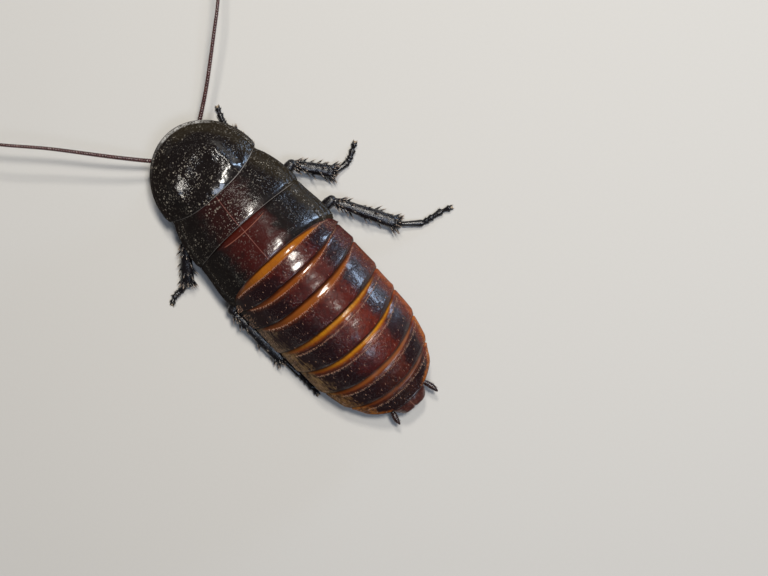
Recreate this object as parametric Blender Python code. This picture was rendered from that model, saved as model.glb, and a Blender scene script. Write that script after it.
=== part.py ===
"""Adult female Madagascar hissing cockroach, life size, standing still on its six feet.

The head points to -Y, the tail to +Y, the animal's left side is +X and its back faces +Z. The feet stand on
z = 0. Shapes are worked out in millimetres in a body frame: x to the animal's left, s rearward from the front
rim of the pronotum, z up from the floor. Objects are written in metres, with the middle of the whole animal at
the origin.
"""

import math
import random

import bmesh
import bpy
from mathutils import Vector

# General sizes, in millimetres
MM = 0.001
GAP = 0.3
EDGE_GAP = 0.36
PLATE_EDGE = 0.5
# Where the body frame's zero lies in the part's own frame, so that the whole animal is centred on the origin
PLACE_X, PLACE_Y = -0.1, -16.8

# The outline of the body from above: half its width at places s along it
SHIELD_HALF_WIDTH = 9.6
SHIELD_CENTRE, SHIELD_REACH, SHIELD_POWER, SHIELD_NARROWING = 9.8, 10.2, 1.9, 0.05
TRUNK_HALF_WIDTHS = {
    11: 9.1, 13: 9.8, 16: 10.5, 19: 10.75, 21: 10.85, 25: 11.2, 28: 10.95, 33: 10.9, 38: 10.7, 42: 10.4,
}
TAIL_CENTRE, TAIL_REACH, TAIL_HALF_WIDTH, TAIL_POWER = 42.0, 17.3, 10.4, 2.15

# The hind body bends a little to the animal's right, and the ridge of the thorax leans to its left
TRUNK_SWAY = {26: 0.0, 36: -0.15, 46: -0.35, 59: -0.4}
BACK_LEAN = {8: 0.0, 16: 0.5, 28: 0.5, 36: 0.2, 46: 0.0}

# The side profile: height of the side margins and of the midline of the back, and of the belly
MARGIN_HEIGHTS = {0: 5.8, 10: 5.2, 20: 5.0, 28: 4.75, 40: 4.4, 50: 3.8, 60: 3.0}
BACK_HEIGHTS = {
    10: 10.1, 13: 10.5, 19: 11.1, 26: 11.7, 31: 12.0, 36: 12.05,
    41: 11.8, 46: 10.9, 51: 9.2, 55: 7.3, 58: 5.5,
}
BELLY_HEIGHTS = {12: 3.1, 19: 2.7, 27: 2.1, 32: 1.3, 38: 1.0, 46: 1.0, 52: 1.3, 57: 2.2}

# Rear edges of the back plates: place on the midline, how far the side corners lie ahead of it, and how
# square the curve is. A negative lead puts the corners behind the midline.
REAR_EDGES = {
    "pronotum": (13.2, 2.3, 3.0),
    "mesonotum": (19.4, 0.0, 3.0),
    "metanotum": (26.5, -1.45, 4.0),
    "tergite_1": (31.0, 2.0, 3.0),
    "tergite_2": (35.1, 2.3, 2.9),
    "tergite_3": (40.4, 1.9, 2.5),
    "tergite_4": (45.8, 2.8, 2.5),
    "tergite_5": (50.8, 2.6, 2.5),
    "tergite_6": (54.9, 2.1, 2.3),
    "tergite_7": (58.3, 2.4, 2.4),
}
BELLY_EDGES = {
    "mesosternum": (19.2, 0.0, 2.0),
    "metasternum": (27.4, -0.6, 2.0),
    "sternite_2": (32.4, 0.4, 2.0),
    "sternite_3": (37.4, 0.5, 2.0),
    "sternite_4": (42.4, 0.7, 2.0),
    "sternite_5": (47.2, 1.0, 2.0),
    "sternite_6": (51.6, 1.4, 2.0),
    "sternite_7": (57.0, 2.6, 2.0),
}
# A plate rises from its sunken front edge to its rear edge, which stands over the next plate
FRONT_SINK, REAR_LIFT, CORNER_FLARE = 0.2, 0.3, 0.4
PLATE_COLUMNS, PLATE_ROWS = 18, 4

# Pronotum: a hood with a flattened brim and two low tubercles
SHIELD_THICKNESS, RIM_THICKNESS = 0.9, 0.6
SHIELD_COLUMNS, SHIELD_ROWS = 22, 11
TUBERCLE_X, TUBERCLE_S, TUBERCLE_HEIGHT, TUBERCLE_RADIUS = 4.0, 7.6, 0.8, 1.7

# Legs: the joints in the body frame as (x, s, z), and the places (x, s) that the foot lies on
LEGS = {
    "fore_right": {
        "coxa": ((-5.0, 8.4, 3.6), (-2.4, 11.5, 2.0)),
        "knee": (-8.2, 11.0, 3.3),
        "ankle": (-7.3, 5.8, 1.2),
        "foot": ((-7.35, 5.0), (-7.5, 3.8), (-7.75, 2.9), (-8.1, 2.0), (-8.45, 1.15)),
    },
    "fore_left": {
        "coxa": ((5.0, 8.4, 3.6), (2.4, 11.5, 2.0)),
        "knee": (8.0, 12.0, 3.3),
        "ankle": (6.3, 7.2, 1.2),
        "foot": ((6.1, 6.5), (5.9, 5.4), (5.75, 4.6), (5.75, 3.9), (5.95, 3.2)),
    },
    "mid_right": {
        "coxa": ((-6.2, 14.6, 3.3), (-2.5, 18.3, 1.95)),
        "knee": (-11.6, 16.6, 3.6),
        "ankle": (-15.9, 22.1, 1.35),
        "foot": ((-16.7, 22.5), (-18.6, 22.3), (-19.6, 21.9), (-20.6, 21.3), (-21.4, 20.8)),
    },
    "mid_left": {
        "coxa": ((6.2, 14.6, 3.3), (2.5, 18.3, 1.95)),
        "knee": (9.9, 14.2, 3.5),
        "ankle": (14.85, 19.4, 1.3),
        "foot": ((15.6, 19.6), (16.8, 19.4), (17.6, 19.4), (18.3, 19.5), (19.0, 19.9)),
    },
    "hind_right": {
        "coxa": ((-6.6, 21.0, 3.2), (-2.7, 25.6, 1.8)),
        "knee": (-12.6, 25.4, 3.65),
        "ankle": (-18.1, 35.5, 1.4),
        "foot": ((-18.8, 36.3), (-21.2, 38.1), (-23.0, 38.4), (-24.8, 38.7), (-26.1, 39.2)),
    },
    "hind_left": {
        "coxa": ((6.6, 21.0, 3.2), (2.7, 25.6, 1.8)),
        "knee": (11.8, 27.9, 3.45),
        "ankle": (11.4, 39.8, 1.35),
        "foot": ((11.3, 40.9), (11.1, 43.3), (11.0, 45.0), (10.95, 46.3), (11.0, 47.4)),
    },
}
COXA_HALF_WIDTH, COXA_HALF_DEPTH = 1.75, 0.85
FEMUR_HALF_DEPTH, FEMUR_HALF_WIDTH = 1.12, 0.85
TIBIA_KNEE_RADIUS, TIBIA_ANKLE_RADIUS = 0.62, 0.92
FOOT_WAIST, FOOT_PAD, CLAW_LENGTH, CLAW_RADIUS = 0.36, 0.5, 1.0, 0.25
SPINE_RADIUS, SPINE_LENGTH, SPUR_LENGTH, THORN_LENGTH = 0.26, 1.3, 1.7, 0.8

# Head: from the crown to the end of the face, in the body's middle plane
CROWN, FACE_END = Vector((0.0, 3.9, 6.9)), Vector((0.0, 6.3, 1.7))
HEAD_SECTIONS = {
    0.0: (0.9, 0.6), 0.07: (2.0, 1.2), 0.2: (2.8, 1.65), 0.38: (3.1, 1.85),
    0.58: (2.75, 1.75), 0.78: (2.05, 1.4), 1.0: (1.45, 0.9),
}
EYE_RADII = Vector((0.75, 0.85, 1.35))
EYE_PLACE = Vector((2.65, 4.35, 5.3))

# Antennae: the route of each, from the socket on the face to the tip
ANTENNA_ROUTES = {
    "left": (
        (1.75, 3.3, 4.5), (3.7, 2.1, 4.3), (5.3, 0.7, 4.6), (9.5, -3.9, 6.0),
        (15.8, -11.2, 7.4), (21.3, -17.0, 8.0), (25.6, -22.1, 7.6), (28.9, -27.2, 6.6),
    ),
    "right": (
        (-1.75, 3.3, 4.5), (-3.8, 2.2, 4.3), (-5.6, 1.1, 4.6), (-10.1, -1.8, 6.0),
        (-16.4, -6.6, 7.4), (-20.7, -10.1, 8.0), (-25.2, -14.8, 7.8), (-28.8, -19.7, 7.0),
    ),
}
SCAPE_LENGTH, SCAPE_RADIUS = 3.0, 0.5
ANTENNA_ROOT_RADIUS, ANTENNA_TIP_RADIUS, ANNULUS_LENGTH = 0.4, 0.27, 1.3

MATERIALS = {
    "black_chitin": ((0.012, 0.010, 0.010), 0.28),
    "dark_red_chitin": ((0.060, 0.010, 0.008), 0.22),
    "brown_chitin": ((0.110, 0.035, 0.016), 0.35),
    "leg_chitin": ((0.014, 0.012, 0.014), 0.30),
    "antenna_chitin": ((0.075, 0.024, 0.022), 0.45),
    "eye_lens": ((0.008, 0.007, 0.008), 0.12),
}


def smooth(places, at):
    """The value at one place on a smooth curve through hand-set values, kept level past both ends."""
    keys = sorted(places)
    if at <= keys[0] or at >= keys[-1]:
        return places[keys[0] if at <= keys[0] else keys[-1]]
    i = max(k for k in range(len(keys) - 1) if keys[k] <= at)
    span = keys[i + 1] - keys[i]
    t = (at - keys[i]) / span

    def slope(k):
        low, high = keys[max(k - 1, 0)], keys[min(k + 1, len(keys) - 1)]
        return (places[high] - places[low]) / (high - low) * span

    a, b = places[keys[i]], places[keys[i + 1]]
    return (
        a * (2 * t**3 - 3 * t**2 + 1)
        + slope(i) * (t**3 - 2 * t**2 + t)
        + b * (3 * t**2 - 2 * t**3)
        + slope(i + 1) * (t**3 - t**2)
    )


def mix(a, b, t):
    return a + (b - a) * t


def half_width(s):
    """Half the width of the body behind the pronotum, ending in a full half round at the tail."""
    if s <= TAIL_CENTRE:
        return smooth(TRUNK_HALF_WIDTHS, s)
    reach = min((s - TAIL_CENTRE) / TAIL_REACH, 0.995)
    return TAIL_HALF_WIDTH * (1 - reach**TAIL_POWER) ** (1 / TAIL_POWER)


def column(i, count):
    """Where a lengthwise line of a plate lies across it, from -1 to 1, closer together near the sides."""
    t = -1 + 2 * i / count
    return 0.6 * t + 0.4 * math.sin(t * math.pi / 2)


def edge_place(edge, x):
    """How far back a plate's rear edge lies at x from the trunk's middle."""
    middle, lead, power = edge
    return middle - lead * (abs(x) / half_width(middle - lead)) ** power


def plate_place(front, rear, x, v):
    """A place on a plate at x from the trunk's middle, where v runs from 0 at its front edge to 1 at its rear."""
    return mix(edge_place(front, x) + EDGE_GAP, edge_place(rear, x), v)


def swayed(x, s, rise=0.0):
    """x moved with the bend of the trunk at s, and, by rise from 0 to 1, with the lean of the back."""
    return x + smooth(TRUNK_SWAY, s) + smooth(BACK_LEAN, s) * rise


def material(name):
    found = bpy.data.materials.get(name)
    if found:
        return found
    colour, roughness = MATERIALS[name]
    made = bpy.data.materials.new(name)
    made.use_nodes = True
    shader = made.node_tree.nodes["Principled BSDF"]
    shader.inputs["Base Color"].default_value = (*colour, 1)
    shader.inputs["Roughness"].default_value = roughness
    shader.inputs["Metallic"].default_value = 0.0
    return made


def make_object(name, points, faces, material_name):
    """An object from points in the body frame, in millimetres, with its faces turned outwards."""
    mesh = bpy.data.meshes.new(name)
    placed = [((p[0] + PLACE_X) * MM, (p[1] + PLACE_Y) * MM, p[2] * MM) for p in points]
    mesh.from_pydata(placed, [], faces)
    body = bmesh.new()
    body.from_mesh(mesh)
    bmesh.ops.recalc_face_normals(body, faces=body.faces)
    if body.calc_volume(signed=True) < 0:
        bmesh.ops.reverse_faces(body, faces=body.faces)
    body.to_mesh(mesh)
    body.free()
    mesh.materials.append(material(material_name))
    made = bpy.data.objects.new(name, mesh)
    bpy.context.scene.collection.objects.link(made)
    return made


def finish_round(made):
    """Shades a finished piece smooth, apart from its edges."""
    made.data.shade_smooth()
    made.data.set_sharp_from_angle(angle=math.radians(40))
    return made


def loft(rings):
    """Points and faces of a closed body through rings of equal count, with a flat face over each end."""
    count = len(rings[0])
    points = [p for ring in rings for p in ring]
    faces = []
    for r in range(len(rings) - 1):
        for i in range(count):
            j = (i + 1) % count
            faces.append((r * count + i, r * count + j, (r + 1) * count + j, (r + 1) * count + i))
    faces.append(tuple(reversed(range(count))))
    faces.append(tuple(range((len(rings) - 1) * count, len(rings) * count)))
    return points, faces


def slab(top, bottom):
    """Points and faces of a closed body between two grids of points, given by row and column."""
    rows, columns = len(top), len(top[0])
    points = [p for row in top for p in row] + [p for row in bottom for p in row]

    def at(side, r, c):
        return side * rows * columns + r * columns + c

    faces = []
    for r in range(rows - 1):
        for c in range(columns - 1):
            for side in (0, 1):
                corners = (r, c), (r, c + 1), (r + 1, c + 1), (r + 1, c)
                faces.append(tuple(at(side, *corner) for corner in corners))
    for r in (0, rows - 1):
        faces += [(at(0, r, c), at(0, r, c + 1), at(1, r, c + 1), at(1, r, c)) for c in range(columns - 1)]
    for c in (0, columns - 1):
        faces += [(at(0, r, c), at(0, r + 1, c), at(1, r + 1, c), at(1, r, c)) for r in range(rows - 1)]
    return points, faces


def dome(u, flatness):
    """Height of the back across the body, 1 on the midline and 0 at the margins."""
    return max(1 - abs(u) ** 2.2, 0.0) ** flatness


def back_plate(name, front, rear, material_name, flatness):
    """One plate of the back, filled down to the margins, with its rear edge standing over the next plate."""
    top, bottom = [], []
    for r in range(PLATE_ROWS + 1):
        v = r / PLATE_ROWS
        rise = mix(-FRONT_SINK, REAR_LIFT, v**0.8)
        flare = CORNER_FLARE * v**1.5
        side = mix(front[0] - front[1] + EDGE_GAP, rear[0] - rear[1], v)
        middle = plate_place(front, rear, 0, v)
        margin = smooth(MARGIN_HEIGHTS, side)
        height = smooth(BACK_HEIGHTS, middle) + rise - margin - PLATE_EDGE / 2
        width = half_width(side) + flare
        arch, base = [], []
        for c in range(PLATE_COLUMNS + 1):
            u = column(c, PLATE_COLUMNS)
            s = plate_place(front, rear, u * width, v)
            rise = dome(u, flatness)
            arch.append((swayed(u * width, s, rise), s, margin + PLATE_EDGE / 2 + height * rise))
            base.append((swayed(u * width, s), s, margin - PLATE_EDGE / 2))
        top.append(arch)
        bottom.append(base)
    return make_object(name, *slab(top, bottom), material_name)


def belly_plate(name, front, rear, inset, material_name):
    """One plate of the underside, from just below the margins down to the rounded belly."""
    top, bottom = [], []
    for r in range(PLATE_ROWS):
        v = r / (PLATE_ROWS - 1)
        side = mix(front[0] - front[1] + EDGE_GAP, rear[0] - rear[1], v)
        middle = plate_place(front, rear, 0, v)
        roof = smooth(MARGIN_HEIGHTS, side) - PLATE_EDGE / 2 - GAP
        depth = roof - PLATE_EDGE - smooth(BELLY_HEIGHTS, middle) + mix(0.15, 0.0, v)
        width = half_width(side) - inset
        base, arch = [], []
        for c in range(0, PLATE_COLUMNS + 1, 2):
            u = column(c, PLATE_COLUMNS)
            s = plate_place(front, rear, u * width, v)
            x = swayed(u * width, s)
            base.append((x, s, roof))
            arch.append((x, s, roof - PLATE_EDGE - depth * (1 - abs(u) ** 2.6)))
        top.append(base)
        bottom.append(arch)
    return make_object(name, *slab(top, bottom), material_name)


def shield_height(x, s):
    """Height of the pronotum's upper face: a hood with a flat brim, two tubercles and a dip between them."""
    ahead = max(SHIELD_CENTRE - s, 0) / SHIELD_REACH
    radius = min(math.hypot(x / SHIELD_HALF_WIDTH, ahead), 1)
    rim = smooth(MARGIN_HEIGHTS, s) + RIM_THICKNESS / 2
    rise = (smooth(BACK_HEIGHTS, max(s, 10)) - rim) * (1 - radius**2.3) ** 1.15
    spread = ((abs(x) - TUBERCLE_X) ** 2 + (s - TUBERCLE_S) ** 2) / TUBERCLE_RADIUS**2
    dip = (x**2 + (s - TUBERCLE_S - 0.4) ** 2) / TUBERCLE_RADIUS**2
    return rim + rise + TUBERCLE_HEIGHT * math.exp(-spread) - 0.35 * math.exp(-dip)


def shield_place(c, v):
    """A point (x, s) of the pronotum's grid: column c, and v from 0 at the front rim to 1 at the rear."""
    x = column(c, SHIELD_COLUMNS) * SHIELD_HALF_WIDTH
    s = mix(shield_front(x), edge_place(REAR_EDGES["pronotum"], x), v)
    return x * (1 - SHIELD_NARROWING * max(s - SHIELD_CENTRE, 0) / 2), s


def shield_front(x):
    """How far back the pronotum's front rim lies at x."""
    across = min(abs(x) / SHIELD_HALF_WIDTH, 1)
    return SHIELD_CENTRE - SHIELD_REACH * (1 - across**SHIELD_POWER) ** (1 / SHIELD_POWER)


def pronotum():
    top, bottom = [], []
    for r in range(SHIELD_ROWS + 1):
        v = r / SHIELD_ROWS
        places = [shield_place(c, v) for c in range(SHIELD_COLUMNS + 1)]
        top.append([(x, s, shield_height(x, s)) for x, s in places])
        under = []
        for x, s in places:
            ahead = max(SHIELD_CENTRE - s, 0) / SHIELD_REACH
            inward = 1 - min(math.hypot(x / SHIELD_HALF_WIDTH, ahead), 1)
            thickness = mix(RIM_THICKNESS, SHIELD_THICKNESS, min(inward * 4, 1))
            under.append((x, s, shield_height(x, s) - thickness))
        bottom.append(under)
    return make_object("pronotum", *slab(top, bottom), "black_chitin")


def prothorax():
    """The trunk under the pronotum, from the neck to the middle segment, below the hood's lower face."""
    half, front, rows, columns = 6.2, 5.6, 4, 12
    top, bottom = [], []
    for r in range(rows + 1):
        v = r / rows
        above, below = [], []
        for c in range(columns + 1):
            u = column(c, columns)
            x = u * half * mix(0.75, 1.0, min(v * 2, 1))
            s = mix(front, edge_place(REAR_EDGES["pronotum"], x), v)
            above.append((x, s, shield_height(x, s) - SHIELD_THICKNESS - GAP - 0.05))
            below.append((x, s, mix(4.9, 3.2, (1 - abs(u) ** 2.4))))
        top.append(above)
        bottom.append(below)
    return make_object("prothorax", *slab(top, bottom), "brown_chitin")


def limb(name, path, sizes, sides, material_name, up=Vector((0, 0, 1))):
    """A tapered, round-ended rod along a path. Sizes are (half width, half depth) at each of its points."""
    path = [Vector(p) for p in path]
    rings = []
    last = len(path) - 1
    stations = [(0, -0.5, 0.55)] + [(i, 0.0, 1.0) for i in range(len(path))] + [(last, 0.5, 0.55)]
    for i, beyond, scale in stations:
        along = (path[min(i + 1, last)] - path[max(i - 1, 0)]).normalized()
        side = along.cross(up).normalized()
        deep = side.cross(along).normalized()
        width, depth = sizes[i]
        middle = path[i] + along * beyond * min(width, depth)
        ring = []
        for k in range(sides):
            angle = 2 * math.pi * (k + 0.5) / sides
            round_place = side * width * math.cos(angle) + deep * depth * math.sin(angle)
            ring.append(middle + round_place * scale)
        rings.append(ring)
    return make_object(name, *loft(rings), material_name)


def cone(root, direction, length, radius, sides=5):
    """A spine: a closed cone whose root is sunk by a third of a millimetre."""
    direction = Vector(direction).normalized()
    side = direction.orthogonal().normalized()
    other = direction.cross(side)
    base = Vector(root) - direction * 0.35
    points = []
    for k in range(sides):
        angle = 2 * math.pi * k / sides
        points.append(base + (side * math.cos(angle) + other * math.sin(angle)) * radius)
    points.append(Vector(root) + direction * length)
    faces = [(k, (k + 1) % sides, sides) for k in range(sides)] + [tuple(reversed(range(sides)))]
    return make_object("spine", points, faces, "leg_chitin")


def largest_body(mesh):
    """Keeps only the largest closed surface of a mesh."""
    body = bmesh.new()
    body.from_mesh(mesh)
    left, groups = set(body.verts), []
    while left:
        group, edge = set(), [next(iter(left))]
        while edge:
            vert = edge.pop()
            if vert in group:
                continue
            group.add(vert)
            edge += [e.other_vert(vert) for e in vert.link_edges]
        groups.append(group)
        left -= group

    def size(group):
        spans = [[v.co[axis] for v in group] for axis in range(3)]
        return math.prod(max(span) - min(span) + 1e-9 for span in spans)

    groups.sort(key=size)
    bmesh.ops.delete(body, geom=[v for group in groups[:-1] for v in group], context="VERTS")
    body.to_mesh(mesh)
    body.free()


def combine(made, others, operation, solver="EXACT"):
    """Joins other closed objects to one, or cuts them from it, in one Boolean, and removes them."""
    group = bpy.data.collections.new(made.name + "_pieces")
    for other in others:
        group.objects.link(other)
    modifier = made.modifiers.new("pieces", "BOOLEAN")
    modifier.operation = operation
    modifier.operand_type = "COLLECTION"
    modifier.collection = group
    modifier.solver = solver
    bpy.context.view_layer.update()
    graph = bpy.context.evaluated_depsgraph_get()
    result = bpy.data.meshes.new_from_object(made.evaluated_get(graph))
    made.modifiers.clear()
    made.data = result
    for other in others:
        bpy.data.objects.remove(other)
    bpy.data.collections.remove(group)
    largest_body(made.data)
    return made


def grown(made, by=GAP):
    """A copy of a closed object whose surface stands out by a gap on every side, used as a cutter."""
    copy = bpy.data.objects.new(made.name + "_grown", made.data.copy())
    bpy.context.scene.collection.objects.link(copy)
    body = bmesh.new()
    body.from_mesh(copy.data)
    moves = [(v, v.normal * by * MM * min(v.calc_shell_factor(), 1.6)) for v in body.verts]
    for vert, move in moves:
        vert.co += move
    body.to_mesh(copy.data)
    body.free()
    return copy


def make_room(made, cutters):
    """Cuts a socket into a piece for each neighbour that sits in it. The cutters are grown copies of them."""
    return combine(made, cutters, "DIFFERENCE", "MANIFOLD")


def spines_along(start, end, radii, rows, seed):
    """Spines in rows on a leg segment. A row is (angle round it, count, first place, last place, length)."""
    dice = random.Random(seed)
    along = (end - start).normalized()
    side = along.cross(Vector((0, 0, 1))).normalized()
    deep = side.cross(along)
    made = []
    for angle, count, first, last, length in rows:
        for k in range(count):
            t = mix(first, last, k / max(count - 1, 1))
            turn = math.radians(angle + dice.uniform(-9, 9))
            outward = side * math.cos(turn) + deep * math.sin(turn)
            root = start.lerp(end, t) + outward * mix(radii[0], radii[1], t) * 0.85
            lean = (outward + along * 0.75).normalized()
            reach = length * dice.uniform(0.85, 1.15)
            if lean.z < 0:
                reach = min(reach, max((root.z - 0.25) / -lean.z, 0.4))
            made.append(cone(root, lean, reach, SPINE_RADIUS))
    return made


def foot(leg, name, ankle):
    """Five tarsal segments with pads, flat where they stand, and two claws."""
    places = [Vector((x, s, 0)) for x, s in leg["foot"]]
    first = ankle + (Vector((places[0].x, places[0].y, 0.8)) - ankle) * 0.15
    path, sizes = [first], [(FOOT_WAIST, FOOT_WAIST)]
    for a, b in zip(places, places[1:]):
        for t, size in ((0.12, FOOT_WAIST), (0.62, FOOT_PAD), (0.9, FOOT_PAD)):
            point = a.lerp(b, t)
            point.z = size * 0.86
            path.append(point)
            sizes.append((size, size))
    path[1].z = 0.62
    path[-1].z, sizes[-1] = 0.55, (FOOT_PAD * 0.85, FOOT_PAD * 0.85)
    made = limb(name, path, sizes, 8, "leg_chitin")
    for vert in made.data.vertices:
        vert.co.z = max(vert.co.z, 0.0)
    ahead = (places[-1] - places[-2]).normalized()
    aside = ahead.cross(Vector((0, 0, 1)))
    claws = []
    for turn in (-1, 1):
        root = path[-1] + ahead * 0.3 + aside * 0.18 * turn
        reach = ahead * 0.8 + aside * 0.62 * turn - Vector((0, 0, 0.22))
        claws.append(cone(root, reach, CLAW_LENGTH, CLAW_RADIUS))
    return combine(made, claws, "UNION")


def leg_parts(leg_name, leg):
    """Makes one leg's segments, each cut to take the next, and returns the cutters for the trunk."""
    root, hip = (Vector(p) for p in leg["coxa"])
    knee, ankle = Vector(leg["knee"]), Vector(leg["ankle"])
    seed = sum(ord(letter) for letter in leg_name)
    coxa = limb(
        leg_name + "_coxa",
        [root, root.lerp(hip, 0.35), root.lerp(hip, 0.75), hip],
        [(1.2, 0.8), (COXA_HALF_WIDTH, COXA_HALF_DEPTH), (1.25, 0.8), (0.8, 0.6)],
        10,
        "brown_chitin",
    )
    thigh = (knee - hip).normalized()
    start = hip + thigh * 0.6
    femur = limb(
        leg_name + "_femur",
        [start, start.lerp(knee, 0.2), start.lerp(knee, 0.5), start.lerp(knee, 0.8), knee],
        [(0.5, 0.6), (0.8, 0.95), (FEMUR_HALF_WIDTH, FEMUR_HALF_DEPTH), (0.8, 0.95), (0.66, 0.75)],
        10,
        "leg_chitin",
    )
    shin = (ankle - knee).normalized()
    bent = knee + Vector((0, 0, 0.15)) + shin * 0.25
    tibia = limb(
        leg_name + "_tibia",
        [bent, bent.lerp(ankle, 0.15), bent.lerp(ankle, 0.55), bent.lerp(ankle, 0.9), ankle],
        [(0.5, 0.5), (0.66, 0.64), (0.9, 0.82), (TIBIA_ANKLE_RADIUS + 0.08, 0.9), (0.72, 0.7)],
        8,
        "leg_chitin",
    )
    tarsus = foot(leg, leg_name + "_tarsus", ankle)
    cutters = [grown(coxa), grown(femur)]
    make_room(coxa, [grown(femur)])
    make_room(femur, [grown(tibia)])
    make_room(tibia, [grown(tarsus)])
    ridge = spines_along(
        bent,
        ankle,
        (TIBIA_KNEE_RADIUS, TIBIA_ANKLE_RADIUS),
        (
            (10, 4, 0.3, 0.9, SPINE_LENGTH),
            (75, 3, 0.3, 0.85, SPINE_LENGTH * 0.8),
            (170, 4, 0.36, 0.93, SPINE_LENGTH),
            (215, 2, 0.5, 0.9, SPUR_LENGTH),
            (-40, 2, 0.6, 0.93, SPUR_LENGTH),
        ),
        seed,
    )
    combine(tibia, ridge, "UNION")
    thorns = spines_along(start, knee, (0.8, 0.8), ((-60, 2, 0.5, 0.78, THORN_LENGTH),), seed + 1)
    combine(femur, thorns, "UNION")
    return cutters


def ellipsoid(name, middle, radii, columns, rows, material_name, tilt=0.0):
    """A closed ball of three radii, leaned back by a tilt in degrees about the animal's crosswise axis."""
    lean = math.radians(tilt)
    points = []
    for r in range(1, rows):
        band = math.pi * r / rows
        for c in range(columns):
            angle = 2 * math.pi * c / columns
            x = radii.x * math.sin(band) * math.cos(angle)
            s = radii.y * math.sin(band) * math.sin(angle)
            z = radii.z * math.cos(band)
            leaned = s * math.cos(lean) - z * math.sin(lean), s * math.sin(lean) + z * math.cos(lean)
            points.append(middle + Vector((x, *leaned)))
    rings = [points[r * columns : (r + 1) * columns] for r in range(rows - 1)]
    return make_object(name, *loft(rings), material_name)


def head_section(t):
    """The middle of the head's cross-section at t, from the crown to the end of the face, and its two directions."""
    down = (FACE_END - CROWN).normalized()
    ahead = Vector((1, 0, 0)).cross(down).normalized()
    return CROWN.lerp(FACE_END, t), ahead if ahead.y < 0 else -ahead


def head_capsule():
    rings = []
    for t, (width, depth) in sorted(HEAD_SECTIONS.items()):
        middle, ahead = head_section(t)
        ring = []
        for k in range(16):
            angle = 2 * math.pi * k / 16
            ring.append(middle + Vector((width * math.cos(angle), 0, 0)) + ahead * depth * math.sin(angle))
        rings.append(ring)
    return make_object("head", *loft(rings), "black_chitin")


def mouth():
    """The upper lip, the lower lip with its palps, and the two long palps of the maxillae."""
    middle, ahead = head_section(1.0)
    down = (FACE_END - CROWN).normalized()
    lip_place, lip_radii = middle + down * 0.25 + ahead * 0.35, Vector((1.15, 0.45, 0.75))
    made = [ellipsoid("labrum", lip_place, lip_radii, 10, 6, "brown_chitin", 25)]
    below = limb(
        "labium",
        [middle - ahead * 0.85 - down * 1.6, middle - ahead * 0.85 - down * 0.6, middle - ahead * 0.8 + down * 0.15],
        [(1.1, 0.5), (1.0, 0.5), (0.7, 0.4)],
        8,
        "brown_chitin",
        up=-ahead,
    )
    tips = []
    for side in (-1, 1):
        root = middle - ahead * 0.8 + Vector((0.5 * side, 0, 0))
        path = [root, root + Vector((0.75 * side, 0.25, -0.45)), root + Vector((1.5 * side, -0.5, -0.75))]
        tips.append(limb("palp", path, [(0.28, 0.28), (0.27, 0.27), (0.25, 0.25)], 6, "brown_chitin"))
    made.append(combine(below, tips, "UNION"))
    for side, word in ((1, "left"), (-1, "right")):
        root = middle + Vector((1.75 * side, 0.3, 0.5))
        path = [
            root,
            root + Vector((0.9 * side, 0.1, -0.3)),
            root + Vector((1.7 * side, -0.9, -0.75)),
            root + Vector((1.9 * side, -2.2, -1.25)),
            root + Vector((1.6 * side, -3.5, -1.55)),
        ]
        sizes = [(0.3, 0.3), (0.32, 0.32), (0.3, 0.3), (0.28, 0.28), (0.3, 0.3)]
        made.append(limb("maxillary_palp_" + word, path, sizes, 6, "brown_chitin"))
    return made


def route_points(route, spacing):
    """Evenly spaced points on a smooth curve through a route's own points."""
    knots = [Vector(p) for p in route]
    knots = [knots[0] * 2 - knots[1], *knots, knots[-1] * 2 - knots[-2]]
    fine = []
    for a, b, c, d in zip(knots, knots[1:], knots[2:], knots[3:]):
        for k in range(40):
            t = k / 40
            bend = (2 * a - 5 * b + 4 * c - d) * t**2 + (3 * b - a - 3 * c + d) * t**3
            fine.append(0.5 * (2 * b + (c - a) * t + bend))
    fine.append(knots[-2])
    points, left = [fine[0]], spacing
    for a, b in zip(fine, fine[1:]):
        step = (b - a).length
        while step >= left:
            a = a + (b - a).normalized() * left
            step -= left
            left = spacing
            points.append(a.copy())
        left -= step
    return points


def antenna(word):
    """Scape and pedicel in one node, and the ringed flagellum in two lengths."""
    half_ring = ANNULUS_LENGTH / 2
    points = route_points(ANTENNA_ROUTES[word], half_ring)
    base_count = round(SCAPE_LENGTH / half_ring) + 1
    base = points[:base_count]
    waist = [SCAPE_RADIUS] * (base_count - 2) + [SCAPE_RADIUS * 0.75, SCAPE_RADIUS * 0.85]
    made = [limb(f"antenna_{word}_base", base, [(r, r) for r in waist], 8, "antenna_chitin")]
    rest = points[base_count:]
    middle = len(rest) // 2
    for number, (low, high) in enumerate(((0, middle), (middle, len(rest))), 1):
        part = rest[low:high]
        sizes = []
        for k in range(low, high):
            radius = mix(ANTENNA_ROOT_RADIUS, ANTENNA_TIP_RADIUS, k / (len(rest) - 1))
            sizes.append((radius * (1.0 if k % 2 else 0.84),) * 2)
        made.append(limb(f"antenna_{word}_{number}", part, sizes, 6, "antenna_chitin"))
    return made


def supra_anal_plate():
    """The two-lobed plate at the tip of the tail."""
    half, rows, columns = 3.1, 3, 10
    top, bottom = [], []
    for r in range(rows + 1):
        v = r / rows
        above, below = [], []
        for c in range(columns + 1):
            u = column(c, columns)
            x = u * half * mix(1.0, 0.86, v)
            front = edge_place(REAR_EDGES["tergite_7"], x) + EDGE_GAP
            rear = 59.8 - 1.1 * abs(u) ** 5 - 0.3 * math.exp(-((u / 0.12) ** 2))
            s = mix(front, rear, v)
            above.append((swayed(x, s), s, mix(4.9, 4.2, v) - 0.9 * abs(u) ** 2))
            below.append((swayed(x, s), s, mix(4.1, 3.6, v) - 0.9 * abs(u) ** 2))
        top.append(above)
        bottom.append(below)
    return make_object("supra_anal_plate", *slab(top, bottom), "brown_chitin")


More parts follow.
